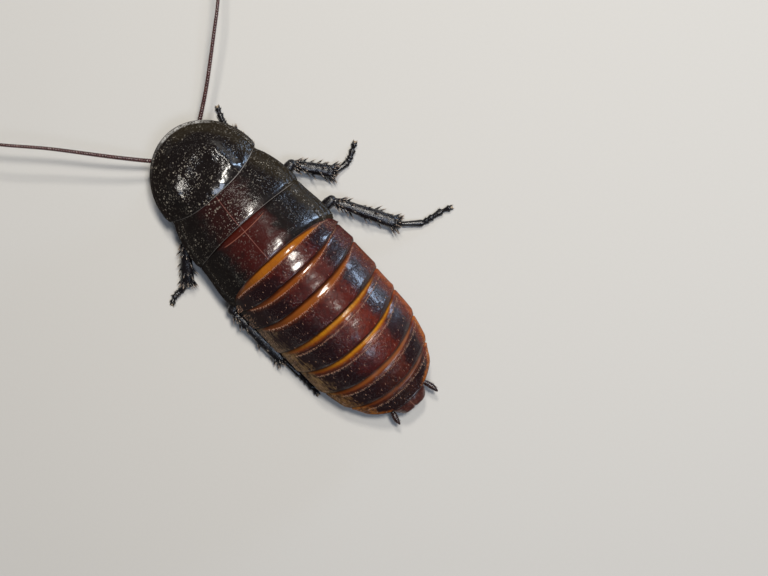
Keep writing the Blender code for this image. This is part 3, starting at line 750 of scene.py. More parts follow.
@dataclass(frozen=True)
class ShieldFinish:
    """The finish of the shield and the two thorax plates: black, granular and dusty, with paler flanges."""

    name: str
    centre: Colour = BLACK
    red: float = 0.0
    front_strip: float = 0.0
    suture: float = 0.0
    rear_line: float = 0.8
    flange: float = 0.5
    dust: float = 0.7
    rough: float = 0.17
    # How strong the painted highlight along the raised rim is.
    rim_wear: float = 0.0
    polish: Polish = Polish()
    calm: float = 0.0
    cloud_tone: Colour = (0.01, 0.0065, 0.006)
    right_flange: Colour = (0.026, 0.019, 0.009)
    left_flange: Colour = (0.012, 0.009, 0.007)
    strip_tone: Colour = (0.05, 0.007, 0.004)
    strip_border: Colour = (0.26, 0.1, 0.07)
    suture_tone: Colour = (0.2, 0.085, 0.07)
    rear_line_tone: Colour = (0.33, 0.3, 0.27)
    # The colour of the painted highlight along the rim.
    worn_tone: Colour = (0.6, 0.58, 0.55)

    def ground_tone(self, skin: PlateSkin, strip: Value) -> Value:
        """The plate's own colours: middle, flanges, front strip, suture and pale rear line.

        Args:
            skin: The material.
            strip: 1 on the strip at the front and 0 elsewhere.

        Returns:
            The colour.
        """
        across, ahead, side, mottle = skin.across, skin.ahead, skin.side, skin.mottle
        away = abs(across)
        wine = (away.step(8.0, 1.0) + mottle * 1.4).step(0.2, 1.0) * self.red
        tone = skin.blend(wine, self.centre, WINE)
        tone = skin.blend(mottle.step(0.0, 0.25) * 0.3, tone, self.cloud_tone)
        flange = (side.step(3.4, 1.2) + mottle * 0.9).step(0.2, 1.0) * self.flange
        tone = skin.blend(flange * across.step(1.0, -1.0), tone, self.right_flange)
        tone = skin.blend(flange * across.step(-1.0, 1.0) * 0.5, tone, self.left_flange)
        tone = skin.blend(strip, tone, self.strip_tone)
        border = abs(skin.past).step(0.1, 0.03) * self.front_strip
        border = border * across.step(-4.4, -3.6) * across.step(4.6, 3.8)
        tone = skin.blend(border * 0.7, tone, self.strip_border)
        suture = away.step(0.075, 0.03) * self.suture * (0.4 + skin.fine)
        tone = skin.blend(suture, tone, self.suture_tone)
        line = ahead.step(0.14, 0.07) * ahead.step(0.0, 0.03) * self.rear_line * (0.4 + skin.cloudy)
        line = line * (0.45 + across.step(3.0, -1.0) * 0.55)
        return skin.blend(line * side.step(0.3, 1.5), tone, self.rear_line_tone)

    def dust_on(self, skin: PlateSkin, strip: Value) -> Value:
        """Where dust lies: specks of three sizes in patches, and beads in the groove by the margin.

        Args:
            skin: The material.
            strip: 1 on the strip at the front, which stays clean.

        Returns:
            The factor, from 0 to 1.
        """
        patches = (skin.grain(3.2, 3.0) - 0.5).step(-0.1, 0.12)
        small = skin.specks(0.3, 0.4, 0.45) * (0.04 + patches * 0.4)
        middling = skin.specks(0.46, 0.32, 0.42, 1.07) * (0.1 + patches * 0.75)
        large = skin.specks(0.95, 0.15, 0.4, 1.13) * 0.7
        dust = small.most(middling).most(large) * self.dust
        dust = dust * (1 - strip) * (0.35 + skin.across.step(-6, 2) * 0.65)
        beads = skin.specks(0.3, 0.3, 0.75, 0.9) * skin.paint("gutter")
        return dust.most(beads * 0.6)

    def worn_rim(self, skin: PlateSkin) -> Value:
        """Where a painted highlight lies along the raised rim as a pale glint, most of all ahead of the
        middle.

        Args:
            skin: The material.

        Returns:
            The factor, from 0 to 1.
        """
        across, side = skin.across, skin.side
        rim = side.step(0.75, 0.5) * side.step(0.08, 0.2) * self.rim_wear * across.step(-7.0, -5.0)
        rim = rim * (skin.fine + skin.mottle).step(0.3, 0.75)
        return rim * (across.step(8.0, 2.0) * 0.15 + across.step(2.5, 0.5) * 0.65)

    def matt(self, skin: PlateSkin, polished: Value) -> Value:
        """Where the plate is matt: over its flanges, and over calm stretches of the middle.

        Args:
            skin: The material.
            polished: Where it is glossy.

        Returns:
            The factor, from 0 to 1.
        """
        across, side = skin.across, skin.side
        flanges = side.step(4.6, 1.6) + side.step(6.2, 4.0) * across.step(2.5, 4.5) + skin.mottle * 0.6
        flanges = flanges.step(0.1, 1.05) * (0.6 + across.step(1.0, 3.0) * 0.37)
        calm = across.step(1.5, 0.0) * across.step(-7.0, -5.5) * skin.ahead.step(1.4, 2.2) * self.calm
        return flanges.most(calm) * (1 - polished * 0.8)

    def make(self) -> bpy.types.Material:
        """Builds the material.

        Returns:
            The finished material.
        """
        skin = PlateSkin(self.name, cloud_size=1.8, fine_size=0.22)
        strip = skin.past.step(0.1, -0.05) * self.front_strip
        strip = strip * skin.across.step(-4.4, -2.0) * skin.across.step(5.2, 2.8)
        tone = self.ground_tone(skin, strip)
        dusty = self.dust_on(skin, strip)
        tone = skin.blend(dusty, tone, DUST)
        # Painted highlight: a pale glint along the raised rim.
        tone = skin.blend(self.worn_rim(skin), tone, self.worn_tone)

        pits = skin.cells(0.3).step(0.45, 0.0)
        polished = self.polish.on(skin)
        normal = skin.bump((pits * 0.75 + skin.fine * 0.6) * (1 - polished * 0.75), 0.045)
        normal = skin.bump(skin.grain(0.9, 3.0) * (1 - polished * 0.5), 0.1, normal)
        rough = self.rough + skin.mottle * 0.16 + dusty * 0.4
        return skin.shade(
            self.matt(skin, polished),
            Base_Color=tone,
            Roughness=rough - strip * 0.04 + polished * 0.05,
            Coat_Weight=0.14 + polished * 0.5 - dusty * 0.14,
            Coat_Roughness=0.16,
            Specular_IOR_Level=0.44,
            Normal=normal,
        )


@dataclass(frozen=True)
class ChitinFinish:
    """A plain piece of chitin: two tones, fine grain, and pale tips where the mesh paints them."""

    name: str
    tone: Colour
    second: Colour
    tip: Colour = (0.3, 0.2, 0.13)
    roughness: float = 0.26
    coat: float = 0.5
    cloud: float = 1.2
    grain: float = 0.2
    relief: float = 0.03
    dust: float = 0.12
    shine: float = 0.4
    seam_shade: float = 0.4

    def make(self) -> bpy.types.Material:
        """Builds the material.

        Returns:
            The finished material.
        """
        skin = Surface(self.name)
        cloudy, fine = skin.grain(self.cloud, 4.0), skin.grain(self.grain, 3.0)
        tone = skin.blend((cloudy - 0.5).step(-0.12, 0.18), self.tone, self.second)
        tone = skin.blend(skin.paint("seam"), tone, tuple(c * self.seam_shade for c in self.tone))
        tone = skin.blend(skin.paint("tip").step(0.35, 0.95) * 0.85, tone, self.tip)
        dust = skin.specks(0.4, 0.17, 0.3) * self.dust
        tone = skin.blend(dust, tone, DUST)
        pits = skin.cells(self.grain * 2).step(0.4, 0.0)
        return skin.shade(
            Base_Color=tone,
            Roughness=self.roughness + (cloudy - 0.5) * 0.2 + dust * 0.5,
            Coat_Weight=self.coat - dust * self.coat,
            Coat_Roughness=0.15,
            Specular_IOR_Level=self.shine,
            Normal=skin.bump(fine + pits * 0.4, self.relief),
        )


@dataclass(frozen=True)
class EyeFinish:
    """Black compound eyes with fine facets."""

    name: str = "compound_eye"
    facet: float = 0.07
    lens: Colour = (0.012, 0.009, 0.01)
    seam: Colour = (0.003, 0.0025, 0.003)
    relief: float = 0.02

    def make(self) -> bpy.types.Material:
        """Builds the material.

        Returns:
            The finished material.
        """
        skin = Surface(self.name)
        cells = skin.cells(self.facet)
        tone = skin.blend(cells.step(0.2, 0.6), self.lens, self.seam)
        normal = skin.bump(cells.step(0.6, 0.0), self.relief)
        return skin.shade(Base_Color=tone, Roughness=0.12 + cells * 0.15, Coat_Weight=1.0, Normal=normal)


# Meshes


def shell(top: Array, bottom: Array) -> tuple[Array, Faces]:
    """A closed body of two grids of points.

    Args:
        top: Rows of points.
        bottom: As many rows of points below them. Its outer border isn't used, because top's closes it.

    Returns:
        The points and the faces.
    """
    rows, columns = top.shape[:2]
    upper = np.arange(rows * columns).reshape(rows, columns)
    lower = upper.copy()
    lower[1:-1, 1:-1] = rows * columns + np.arange((rows - 2) * (columns - 2)).reshape(rows - 2, -1)
    faces: Faces = []
    for grid in (upper, lower[:, ::-1]):
        quads = np.stack([grid[:-1, :-1], grid[:-1, 1:], grid[1:, 1:], grid[1:, :-1]], -1)
        faces += [tuple(quad) for quad in quads.reshape(-1, 4).tolist()]
    return np.concatenate([top.reshape(-1, 3), bottom[1:-1, 1:-1].reshape(-1, 3)]), faces


def over_shell(values: Array) -> Array:
    """A grid of values, in the order of shell's points."""
    return np.concatenate([values.ravel(), values[1:-1, 1:-1].ravel()])


def loft(rings: Array) -> tuple[Array, Faces]:
    """A closed body through rings of points, with a flat face over each end.

    Args:
        rings: Rings, points of each ring, and their three coordinates.

    Returns:
        The points and the faces.
    """
    count, sides = rings.shape[:2]
    grid = np.arange(count * sides).reshape(count, sides)
    turned = np.roll(grid, -1, axis=1)
    quads = np.stack([grid[:-1], turned[:-1], turned[1:], grid[1:]], -1).reshape(-1, 4)
    faces: Faces = [tuple(quad) for quad in quads.tolist()]
    faces += [tuple(grid[0, ::-1].tolist()), tuple(grid[-1].tolist())]
    return rings.reshape(-1, 3), faces


class Piece:
    """One visible piece under construction, in the body frame."""

    def __init__(self, name: str) -> None:
        """Starts an empty piece.

        Args:
            name: Its name.
        """
        self.name = name
        self.points: list[Array] = []
        self.faces: Faces = []
        self.finish_numbers: list[int] = []
        self.paints: dict[str, list[Array]] = {}
        self.count = 0

    def add(self, points: Array, faces: Faces, finish: int = 0, **paints: Array | float) -> None:
        """Adds a closed body.

        Args:
            points: Its points, in millimetres.
            faces: Its faces, by the points' numbers.
            finish: Which of the piece's finishes it has.
            paints: Values for its points that the finish reads by these names.
        """
        flat = points.reshape(-1, 3)
        for name in sorted(set(self.paints) | set(paints)):
            held = self.paints.setdefault(name, [np.zeros(self.count)])
            held.append(np.broadcast_to(np.ravel(paints.get(name, 0.0)), len(flat)))
        self.faces += [tuple(i + self.count for i in face) for face in faces]
        self.finish_numbers += [finish] * len(faces)
        self.points.append(flat)
        self.count += len(flat)

    def build(self, finishes: list[bpy.types.Material], slot: Slot, *nodes: str) -> bpy.types.Object:
        """Makes the object, which rides on the body and takes the place of its solids.

        Args:
            finishes: The piece's materials.
            slot: The record's slot; it is not used.
            nodes: The nodes that it replaces.

        Returns:
            The object.
        """
        low, high = (np.array(corner) for corner in solid_box)
        places = np.clip((np.concatenate(self.points) + PLACE) * MM, low, high)
        mesh = bpy.data.meshes.new(self.name)
        mesh.from_pydata(places.tolist(), [], self.faces)
        body = bmesh.new()
        body.from_mesh(mesh)
        bmesh.ops.recalc_face_normals(body, faces=body.faces)
        body.to_mesh(mesh)
        body.free()
        for name, parts in self.paints.items():
            layer = mesh.attributes.new(name, "FLOAT", "POINT")
            layer.data.foreach_set("value", np.concatenate(parts).astype(np.float32))
        for finish in finishes:
            mesh.materials.append(finish)
        mesh.polygons.foreach_set("material_index", self.finish_numbers)
        mesh.shade_smooth()
        made = bpy.data.objects.new(self.name, mesh)
        bpy.context.scene.collection.objects.link(made)
        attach(made, "root")
        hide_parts(*nodes)
        log.info("%s: %d points", self.name, len(places))
        return made


@dataclass
class Limb:
    """A tapered rod with rounded ends on a smooth path.

    Each station has x, s, z, half the width and half the depth there.
    """

    stations: Array
    rings: int = 40
    sides: int = 20
    up: Array = field(default_factory=lambda: UP)
    square: float = 2.0
    blunt: float = 1.0

    def at(self, t: Array | float) -> tuple[Array, ...]:
        """The rod at places along it.

        Args:
            t: The places, from 0 to 1.

        Returns:
            Its middle, its directions along, to the side and deep, half its width and half its depth.
        """
        t = np.atleast_1d(np.asarray(t, float))
        scale = len(self.stations) - 1
        here = flow(self.stations, t * scale)
        near = flow(self.stations, np.clip(t + 0.01, 0, 1) * scale) - flow(
            self.stations, np.clip(t - 0.01, 0, 1) * scale
        )
        along = unit(near[:, :3])
        side = unit(np.cross(along, self.up))
        return here[:, :3], along, side, np.cross(side, along), here[:, 3], here[:, 4]

    def mesh(self) -> tuple[Array, Faces, Array]:
        """Makes the rod's mesh.

        Returns:
            Its points, its faces, and how far along the rod each point lies, from 0 to 1.
        """
        turns = np.radians([84, 64, 42, 20])
        t = np.concatenate([np.zeros(4), np.linspace(0, 1, self.rings), np.ones(4)])
        middle, along, side, deep, width, depth = self.at(t)
        scale, beyond = np.ones(len(t)), np.zeros(len(t))
        scale[:4], beyond[:4] = np.cos(turns), -np.sin(turns)
        scale[-4:], beyond[-4:] = np.cos(turns[::-1]), np.sin(turns[::-1])
        middle = middle + along * (beyond * np.minimum(width, depth) * self.blunt)[:, None]
        angle = 2 * np.pi * (np.arange(self.sides) + 0.5) / self.sides
        flat, tall = (np.sign(f) * np.abs(f) ** (2 / self.square) for f in (np.cos(angle), np.sin(angle)))
        rings = (
            middle[:, None]
            + side[:, None] * (width * scale)[:, None, None] * flat[None, :, None]
            + deep[:, None] * (depth * scale)[:, None, None] * tall[None, :, None]
        )
        points, faces = loft(rings)
        return points, faces, np.repeat(t, self.sides)

    def spot(self, t: float, degrees: float) -> tuple[Array, Array, Array]:
        """A point on the surface.

        Args:
            t: Its place along the rod, from 0 to 1.
            degrees: The angle round it, from its side.

        Returns:
            The point, the direction outward and the direction along the rod.
        """
        middle, along, side, deep, width, depth = (part[0] for part in self.at(t))
        turn = math.radians(degrees)
        reach = side * width * math.cos(turn) + deep * depth * math.sin(turn)
        outward = side * math.cos(turn) / width + deep * math.sin(turn) / depth
        return middle + reach, unit(outward), along


@dataclass(frozen=True)
class Thorn:
    """A tapered, slightly curved spine or bristle."""

    length: float
    radius: float
    sides: int = 7
    curve: float = 0.12
    sink: float = 0.2
    collar: float = 1.25

    def add_to(self, piece: Piece, root: Array, direction: Array, bend: Array, finish: int = 0) -> None:
        """Adds the spine to a piece.

        Args:
            piece: The piece that it grows from.
            root: The point on the surface where it stands.
            direction: Where it points at its root.
            bend: Where it curves to.
            finish: Which of the piece's finishes it has.
        """
        direction = unit(direction)
        side = unit(np.cross(direction, UP if abs(direction[2]) < 0.9 else np.array([1.0, 0, 0])))
        other = np.cross(direction, side)
        reach = np.array([-self.sink / self.length, 0.0, 0.06, 0.3, 0.55, 0.8, 1.0])
        radius = self.radius * np.array([1.0, self.collar, 1.0, 0.82, 0.6, 0.34, 0.04])
        middle = root + direction * (reach * self.length)[:, None]
        middle = middle + bend * (np.clip(reach, 0, 1) ** 2 * self.curve * self.length)[:, None]
        angle = 2 * np.pi * np.arange(self.sides) / self.sides
        round_ring = side * np.cos(angle)[:, None] + other * np.sin(angle)[:, None]
        points, faces = loft(middle[:, None] + round_ring[None] * radius[:, None, None])
        points[:, 2] = np.maximum(points[:, 2], 0.03)
        piece.add(points, faces, finish, tip=np.repeat(np.clip(reach, 0, 1), self.sides))


# The back


@dataclass(frozen=True)
class PlateGrid:
    """A back plate's points, seen from above.

    Attributes:
        u: How far across each point lies, from -1 to 1.
        visible: How far along the visible length, from 0 to 1.
        tucked: How far along the part tucked under the plate ahead, from 0 to 1.
        x: Its place across, in millimetres, as if the trunk were straight.
        s: Its place along the body.
        start: Where the plate ahead ends at x.
        end: Where this plate ends at x.
        side: How far it lies inside the margin.
        middle: The place along the back's middle line that its row has.
        margin: The height of the margin at its row.
    """

    u: Array
    visible: Array
    tucked: Array
    x: Array
    s: Array
    start: Array
    end: Array
    side: Array
    middle: Array
    margin: Array

    @property
    def behind(self) -> Array:
        """How far each point lies behind the plate ahead."""
        return self.s - self.start

    @property
    def ahead(self) -> Array:
        """How far each point lies ahead of the rear edge."""
        return self.end - self.s


@dataclass
class BackPlate:
    """One plate of the back behind the shield, with a thin rear lip that laps over the next plate."""

    name: str
    front: Edge
    rear: Edge
    flatness: float
    finish: PlateFinish | ShieldFinish
    slot: Slot
    collar: float = 0.0
    collar_reach: float = 0.9
    collar_drop: float = 0.12
    ridge_shift: float = 0.0
    bristles: int = 0
    collar_roll: float = 0.05
    gutter: float = 0.0
    gutter_place: float = 1.35
    bead_place: float = 0.75
    roll: float = 0.08
    roll_reach: float = 1.9
    fall: float = 0.0
    crown: float = 0.0
    flare: float = 0.32
    corner: float = 0.3
    waves: float = 0.05
    tuck: float = 0.9
    lip: float = 0.32
    columns: int = 170
    rows: int = 34
    front_rows: tuple[float, ...] = (-1, -0.93, -0.8, -0.5, -0.2)
    rear_rows: tuple[float, ...] = (0.1, 0.075, 0.055, 0.038, 0.024, 0.013, 0.005, 0.0)
    margin_lines: tuple[float, ...] = (0.0, 0.0025, 0.007, 0.013)

    def lines(self) -> tuple[Array, Array]:
        """Where the grid's lines lie, closer together at the margins and the rear edge.

        Returns:
            Places across, from -1 to 1, and along, from -1 in the tuck to 1.
        """
        t = np.linspace(-1, 1, self.columns)
        across = 0.62 * t + 0.38 * np.sin(t * np.pi / 2)
        edge = np.array(self.margin_lines)
        inner = across[np.abs(across) < 0.98]
        across = np.concatenate([edge - 1, inner, (1 - edge)[::-1]])
        rear = 1 - np.array(self.rear_rows)
        return across, np.concatenate([self.front_rows, np.linspace(0, 0.88, self.rows), rear])

    def grid(self) -> PlateGrid:
        """Lays the plate's points out, as seen from above.

        Returns:
            The points.
        """
        u, v = np.meshgrid(*self.lines())
        visible, tucked = np.clip(v, 0, 1), np.clip(-v, 0, 1)
        gap = TRUNK.gap
        (front, front_lead, _), (rear, rear_lead, _) = self.front, self.rear
        side_place = (front - front_lead + gap) * (1 - visible) + (rear - rear_lead) * visible
        corner = self.corner * step(0.8, 1.0, visible) ** 3
        width = (TRUNK.half_width(side_place) + self.flare * visible**1.5 - corner) * (1 - 0.035 * tucked)
        x = u * width
        start, end = TRUNK.edge(self.front, x), TRUNK.edge(self.rear, x)
        s = start + gap + (end - start - gap) * visible - tucked * self.tuck
        middle = (front + gap) * (1 - visible) + rear * visible - tucked * self.tuck
        margin = through(MARGIN_HEIGHTS, side_place)
        return PlateGrid(u, visible, tucked, x, s, start, end, (1 - np.abs(u)) * width, middle, margin)

    def past_collar(self, grid: PlateGrid) -> Array:
        """How far each point lies behind the collar, which narrows to both sides, and below 0 on it."""
        half = self.collar_reach * TRUNK.half_width(self.front[0])
        return grid.behind - self.collar * np.clip(1 - np.abs(grid.x / half) ** 2.2, 0, 1) ** 0.8

    def lift(self, grid: PlateGrid) -> Array:
        """How far the plate's rows stand over the back's own profile.

        Args:
            grid: The plate's points.

        Returns:
            Millimetres, rising to the rear, so that the plate laps over the next one.
        """
        if self.fall:
            return -0.2 + self.fall * (1 - (1 - grid.visible) ** 1.8) - 0.25 * grid.tucked
        if self.roll > 0.1:
            return -0.35 + 0.75 * grid.visible - 0.2 * grid.tucked
        return -0.2 + 0.5 * grid.visible**0.8 - 0.3 * grid.tucked

    def collar_relief(self, grid: PlateGrid) -> Array:
        """The collar's drop, its ridge and its roll.

        Args:
            grid: The plate's points.

        Returns:
            Millimetres to add to the height.
        """
        past = self.past_collar(grid)
        drop = -self.collar_drop * step(0.25, -0.1, past) * step(0.3, 1.5, grid.side)
        ridge = (0.03 if self.ridge_shift else 0.07) * bell(past - self.ridge_shift, 0.16)
        hump = bell(past + 0.5 * (grid.behind - past), 0.36 * self.collar)
        return drop + ridge * step(0.3, 1.4, grid.side) + self.collar_roll * hump * step(0.6, 2.0, grid.side)

    def relief(self, grid: PlateGrid, z: Array) -> Array:
        """Adds the collar, the rolled rear edge, the waves and the beaded gutter.

        Args:
            grid: The plate's points.
            z: Their heights without them.

        Returns:
            The heights.
        """
        side, past = grid.side, self.past_collar(grid)
        if self.collar:
            z = z + self.collar_relief(grid)
        z = z - self.roll * np.clip(1 - grid.ahead / self.roll_reach, 0, 1) ** 2 * step(0.2, 1.2, side)
        if self.crown:
            z = z + (0.05 - self.crown * past / 2) * np.maximum(past, 0) * step(0.2, 2.5, side)
        spots = np.stack([grid.x, grid.s, z], -1)
        inner = step(0.0, 0.5, side) * step(-0.2, 0.4, grid.behind)
        crumple = step(2.6, 0.8, side) * ripple(spots, 0.5, 2, 7.0)
        z = z + inner * self.waves * (ripple(spots, 2.2) + crumple)
        if self.gutter:
            line = bell(side - self.gutter_place, 0.3) * (0.8 + 0.9 * ripple(spots, 0.35, 2, 3.0))
            z = z + self.gutter * inner * (line - bell(side - self.bead_place, 0.35))
        return z

    def surface(self) -> dict[str, Array]:
        """Works out both faces of the plate.

        Returns:
            The upper and lower grids of points, and the values that the finish reads.
        """
        grid = self.grid()
        half_edge = TRUNK.plate_edge / 2
        height = through(BACK_HEIGHTS, grid.middle) + self.lift(grid) - grid.margin - half_edge
        arch = np.clip(1 - np.abs(grid.u) ** 2.2, 0, 1) ** self.flatness
        z = self.relief(grid, grid.margin + half_edge + height * arch)
        behind, ahead, side, past = grid.behind, grid.ahead, grid.side, self.past_collar(grid)
        base = grid.margin - half_edge
        thin = np.maximum(step(1.5, 1.0, ahead), step(0.5, 0.1, behind))
        floor = base + (np.maximum(z - self.lip, base) - base) * thin
        front_end = grid.start + TRUNK.gap - self.tuck
        full = rounding(grid.s - front_end, 0.12) * rounding(ahead, 0.17) * rounding(side, 0.22)
        pinch = (1 - full) * (z - floor) / 2
        placed = TRUNK.swayed(grid.x, grid.s, arch)
        gutter = bell(side - self.gutter_place, 0.3) * step(0.2, 0.8, behind)
        return {
            "top": np.stack([placed, grid.s, z - pinch], -1),
            "bottom": np.stack([placed, grid.s, floor + pinch], -1),
            "across": grid.x,
            "behind": behind,
            "ahead": ahead,
            "side": side,
            "past_collar": past,
            "ridge": past - self.ridge_shift,
            "gutter": gutter * (1.0 if self.gutter else 0.0),
        }

    def add_bristles(self, piece: Piece, grid: dict[str, Array]) -> None:
        """Sets a row of short pale bristles on the plate's ridge line, and sparse ones on its sides.

        Args:
            piece: The plate's piece.
            grid: Its upper grid and the values over it.
        """
        dice = random.Random(self.name)
        rows, columns = grid["top"].shape[:2]
        for number in range(self.bristles):
            column = round((0.05 + 0.82 * (number + dice.uniform(-0.4, 0.4)) / self.bristles) * (columns - 1))
            crest = grid["ridge"][:, column]
            at = dice.uniform(-0.06, 0.1)
            if number % 6 == 5:
                at = dice.uniform(0.4, float(crest[-1]) - 0.2) if crest[-1] > 1.0 else at
            root = np.array([np.interp(at, crest, grid["top"][:, column, axis]) for axis in range(3)])
            rise = np.array([dice.uniform(-0.25, 0.25), 0.75, 0.5])
            hair = Thorn(dice.uniform(0.22, 0.4), 0.03, 4, 0.25, 0.06, 1.4)
            hair.add_to(piece, root, rise, UP, 1)
        for number in range(self.bristles):
            row = dice.randrange(6, rows - 6)
            column = dice.choice((dice.randrange(4, 18), columns - 1 - dice.randrange(4, 18)))
            away = 1.0 if column > columns / 2 else -1.0
            hair = Thorn(dice.uniform(0.15, 0.3), 0.02, 3, 0.25, 0.05, 1.2)
            hair.add_to(piece, grid["top"][row, column], np.array([away * 0.6, 0.6, 0.5]), UP, 1)

    def build(self, bristle: bpy.types.Material) -> bpy.types.Object:
        """Builds the plate.

        Args:
            bristle: The bristles' finish.

        Returns:
            The plate.
        """
        grid = self.surface()
        piece = Piece(self.name + "_plate")
        points, faces = shell(grid["top"], grid["bottom"])
        names = ("across", "behind", "ahead", "side", "past_collar", "ridge", "gutter")
        piece.add(points, faces, 0, **{name: over_shell(grid[name]) for name in names})
        self.add_bristles(piece, grid)
        return piece.build([self.finish.make(), bristle], self.slot, self.name)


def hill(x: Array, s: Array, place: tuple[float, float], wide: float) -> Array:
    """A round hill of height 1 and of a given width, about a place on the shield."""
    return np.exp(-((x - place[0]) ** 2 + (s - place[1]) ** 2) / wide**2)


@dataclass
class Shield:
    """The pronotum: a hood with a flattened brim, a raised front rim and two low tubercles."""

    finish: ShieldFinish
    columns: int = 210
    rows: int = 120
    tubercle: tuple[float, float, float, float] = (4.0, 7.6, 0.6, 1.7)
    left_knob: tuple[float, float] = (5.2, 8.2)
    left_hollow: tuple[float, float] = (2.6, 7.0)
    rim_place: float = 0.3
    rim_height: float = 0.19
    fold_height: float = 0.3
    saddle_depth: float = 0.46
    rear_roll: float = 0.3
    rear_lip: float = 0.36
    thickness: float = 0.9

    def height(self, x: Array, s: Array) -> Array:
        """Height of the upper face, near the solid's but with lower tubercles.

        Args:
            x: Places across, in millimetres.
            s: Places along the body.

        Returns:
            The heights.
        """
        ahead = np.maximum(TRUNK.shield_centre - s, 0) / TRUNK.shield_reach
        radius = np.minimum(np.hypot(x / TRUNK.shield_half_width, ahead), 1)
        rim = through(MARGIN_HEIGHTS, s) + 0.3
        rise = (through(BACK_HEIGHTS, np.maximum(s, 10)) - rim) * (1 - radius**2.3) ** 1.15
        place_x, place_s, high, wide = self.tubercle
        knobs = high * hill(np.abs(x), s, (place_x, place_s), wide)
        dip = 0.35 * hill(x, s, (0.0, place_s + 0.4), wide)
        return rim + rise + knobs - dip

    def layout(self) -> tuple[Array, Array, Array, Array, Array]:
        """Lays the shield's points out, as seen from above.

        Returns:
            How far across each point lies from -1 to 1, x, s, and the places of the front and the rear edge.
        """
        t = np.linspace(-1, 1, self.columns)
        v = np.linspace(0, 1, self.rows)
        v = 0.5 - 0.5 * np.cos(np.pi * (0.35 * v + 0.65 * (0.5 - 0.5 * np.cos(np.pi * v))))
        u, v = np.meshgrid(np.sin(t * np.pi / 2), v)
        x = u * TRUNK.shield_half_width
        bow = (1 - np.abs(u) ** TRUNK.shield_power) ** (1 / TRUNK.shield_power)
        front = TRUNK.shield_centre - TRUNK.shield_reach * bow
        rear = TRUNK.edge(REAR_EDGES["pronotum"], x)
        s = front + (rear - front) * v
        x = x * (1 - TRUNK.shield_narrowing * np.maximum(s - TRUNK.shield_centre, 0) / 2)
        return u, x, s, front, rear

    def folds(self, x: Array, s: Array, side: Array, ahead: Array) -> Array:
        """The raised rim, the furrows beside the middle, the saddle and the fold ahead of the rear edge.

        Args:
            x: Places across, in millimetres.
            s: Places along the body.
            side: How far each place lies inside the brim.
            ahead: How far it lies ahead of the rear edge.

        Returns:
            Millimetres to add to the height.
        """
        away = np.abs(x)
        rim = self.rim_height * bell(side - self.rim_place, 0.18) * step(0.2, 1.0, ahead)
        crest = step(5.6, 7.0, s) * step(11.8, 10.6, s)
        furrow = 0.08 + 0.22 * step(1.0, -1.0, x)
        ridges = crest * (0.2 * bell(away - 4.8, 0.5) - furrow * bell(away - 6.2, 0.8))
        saddle = -self.saddle_depth * bell(s - 8.6, 1.7) * step(5.3, 2.2, away)
        fold = self.fold_height * bell(ahead - 1.5 - 0.16 * away, 1.6) * step(6.8, 5.0, away)
        roll = -self.rear_roll * np.clip(1 - ahead / 1.5, 0, 1) ** 2 * step(0.2, 1.2, side)
        knob = 0.42 * hill(x, s, self.left_knob, 1.65) - 0.28 * hill(x, s, self.left_hollow, 1.3)
        return rim + ridges + saddle + fold + roll + knob

    def grains(self, x: Array, s: Array, z: Array, side: Array, ahead: Array) -> Array:
        """The fine relief: waves, granules that leave the polished rear free, and a crumpled brim.

        Args:
            x: Places across, in millimetres.
            s: Places along the body.
            z: The smooth face's heights.
            side: How far each place lies inside the brim.
            ahead: How far it lies ahead of the rear edge.

        Returns:
            Millimetres to add to the height.
        """
        spots = np.stack([x, s, z], -1)
        inner = step(0.0, 0.6, side) * step(0.0, 0.4, ahead)
        rough = 1 - 0.7 * step(2.9, 2.0, ahead) * step(-6.8, -5.2, x) * step(1.0, 0.0, x)
        fine = 0.04 * granules(spots, 0.42) + 0.04 * ripple(spots, 0.7, 2, 5.0)
        crumple = 0.12 * step(3.0, 1.5, side) * np.abs(ripple(spots, 0.9, 2, 9.0))
        return inner * (0.1 * ripple(spots, 2.4) + rough * fine - crumple)

    def build(self) -> bpy.types.Object:
        """Builds the shield.

        Returns:
            The shield.
        """
        u, x, s, front, rear = self.layout()
        half = TRUNK.shield_half_width
        radius = np.hypot(x / half, np.maximum(TRUNK.shield_centre - s, 0) / TRUNK.shield_reach)
        side, behind, ahead = (1 - np.clip(radius, 0, 1)) * half, s - front, rear - s
        smooth = self.height(x, s)
        z = smooth + self.folds(x, s, side, ahead) + self.grains(x, s, smooth, side, ahead)
        inward = step(0.3, 2.4, side) * step(1.2, 1.9, ahead)
        thickness = self.rear_lip + (self.thickness - self.rear_lip) * inward
        edge = np.minimum((1 - np.abs(u)) * half * 6, 1.0)
        full = closed(rounding(side, 0.2) * rounding(ahead, 0.17) * rounding(edge, 0.5))
        pinch = (1 - full) * thickness / 2
        top, bottom = np.stack([x, s, z - pinch], -1), np.stack([x, s, z - thickness + pinch], -1)
        piece = Piece("pronotum_plate")
        points, faces = shell(top, bottom)
        paints = {"across": x, "behind": behind, "ahead": ahead, "side": side, "past_collar": behind + 9}
        piece.add(points, faces, 0, **{name: over_shell(grid) for name, grid in paints.items()}, gutter=0.0)
        return piece.build([self.finish.make()], Slot.BLACK, "pronotum")


# The underside


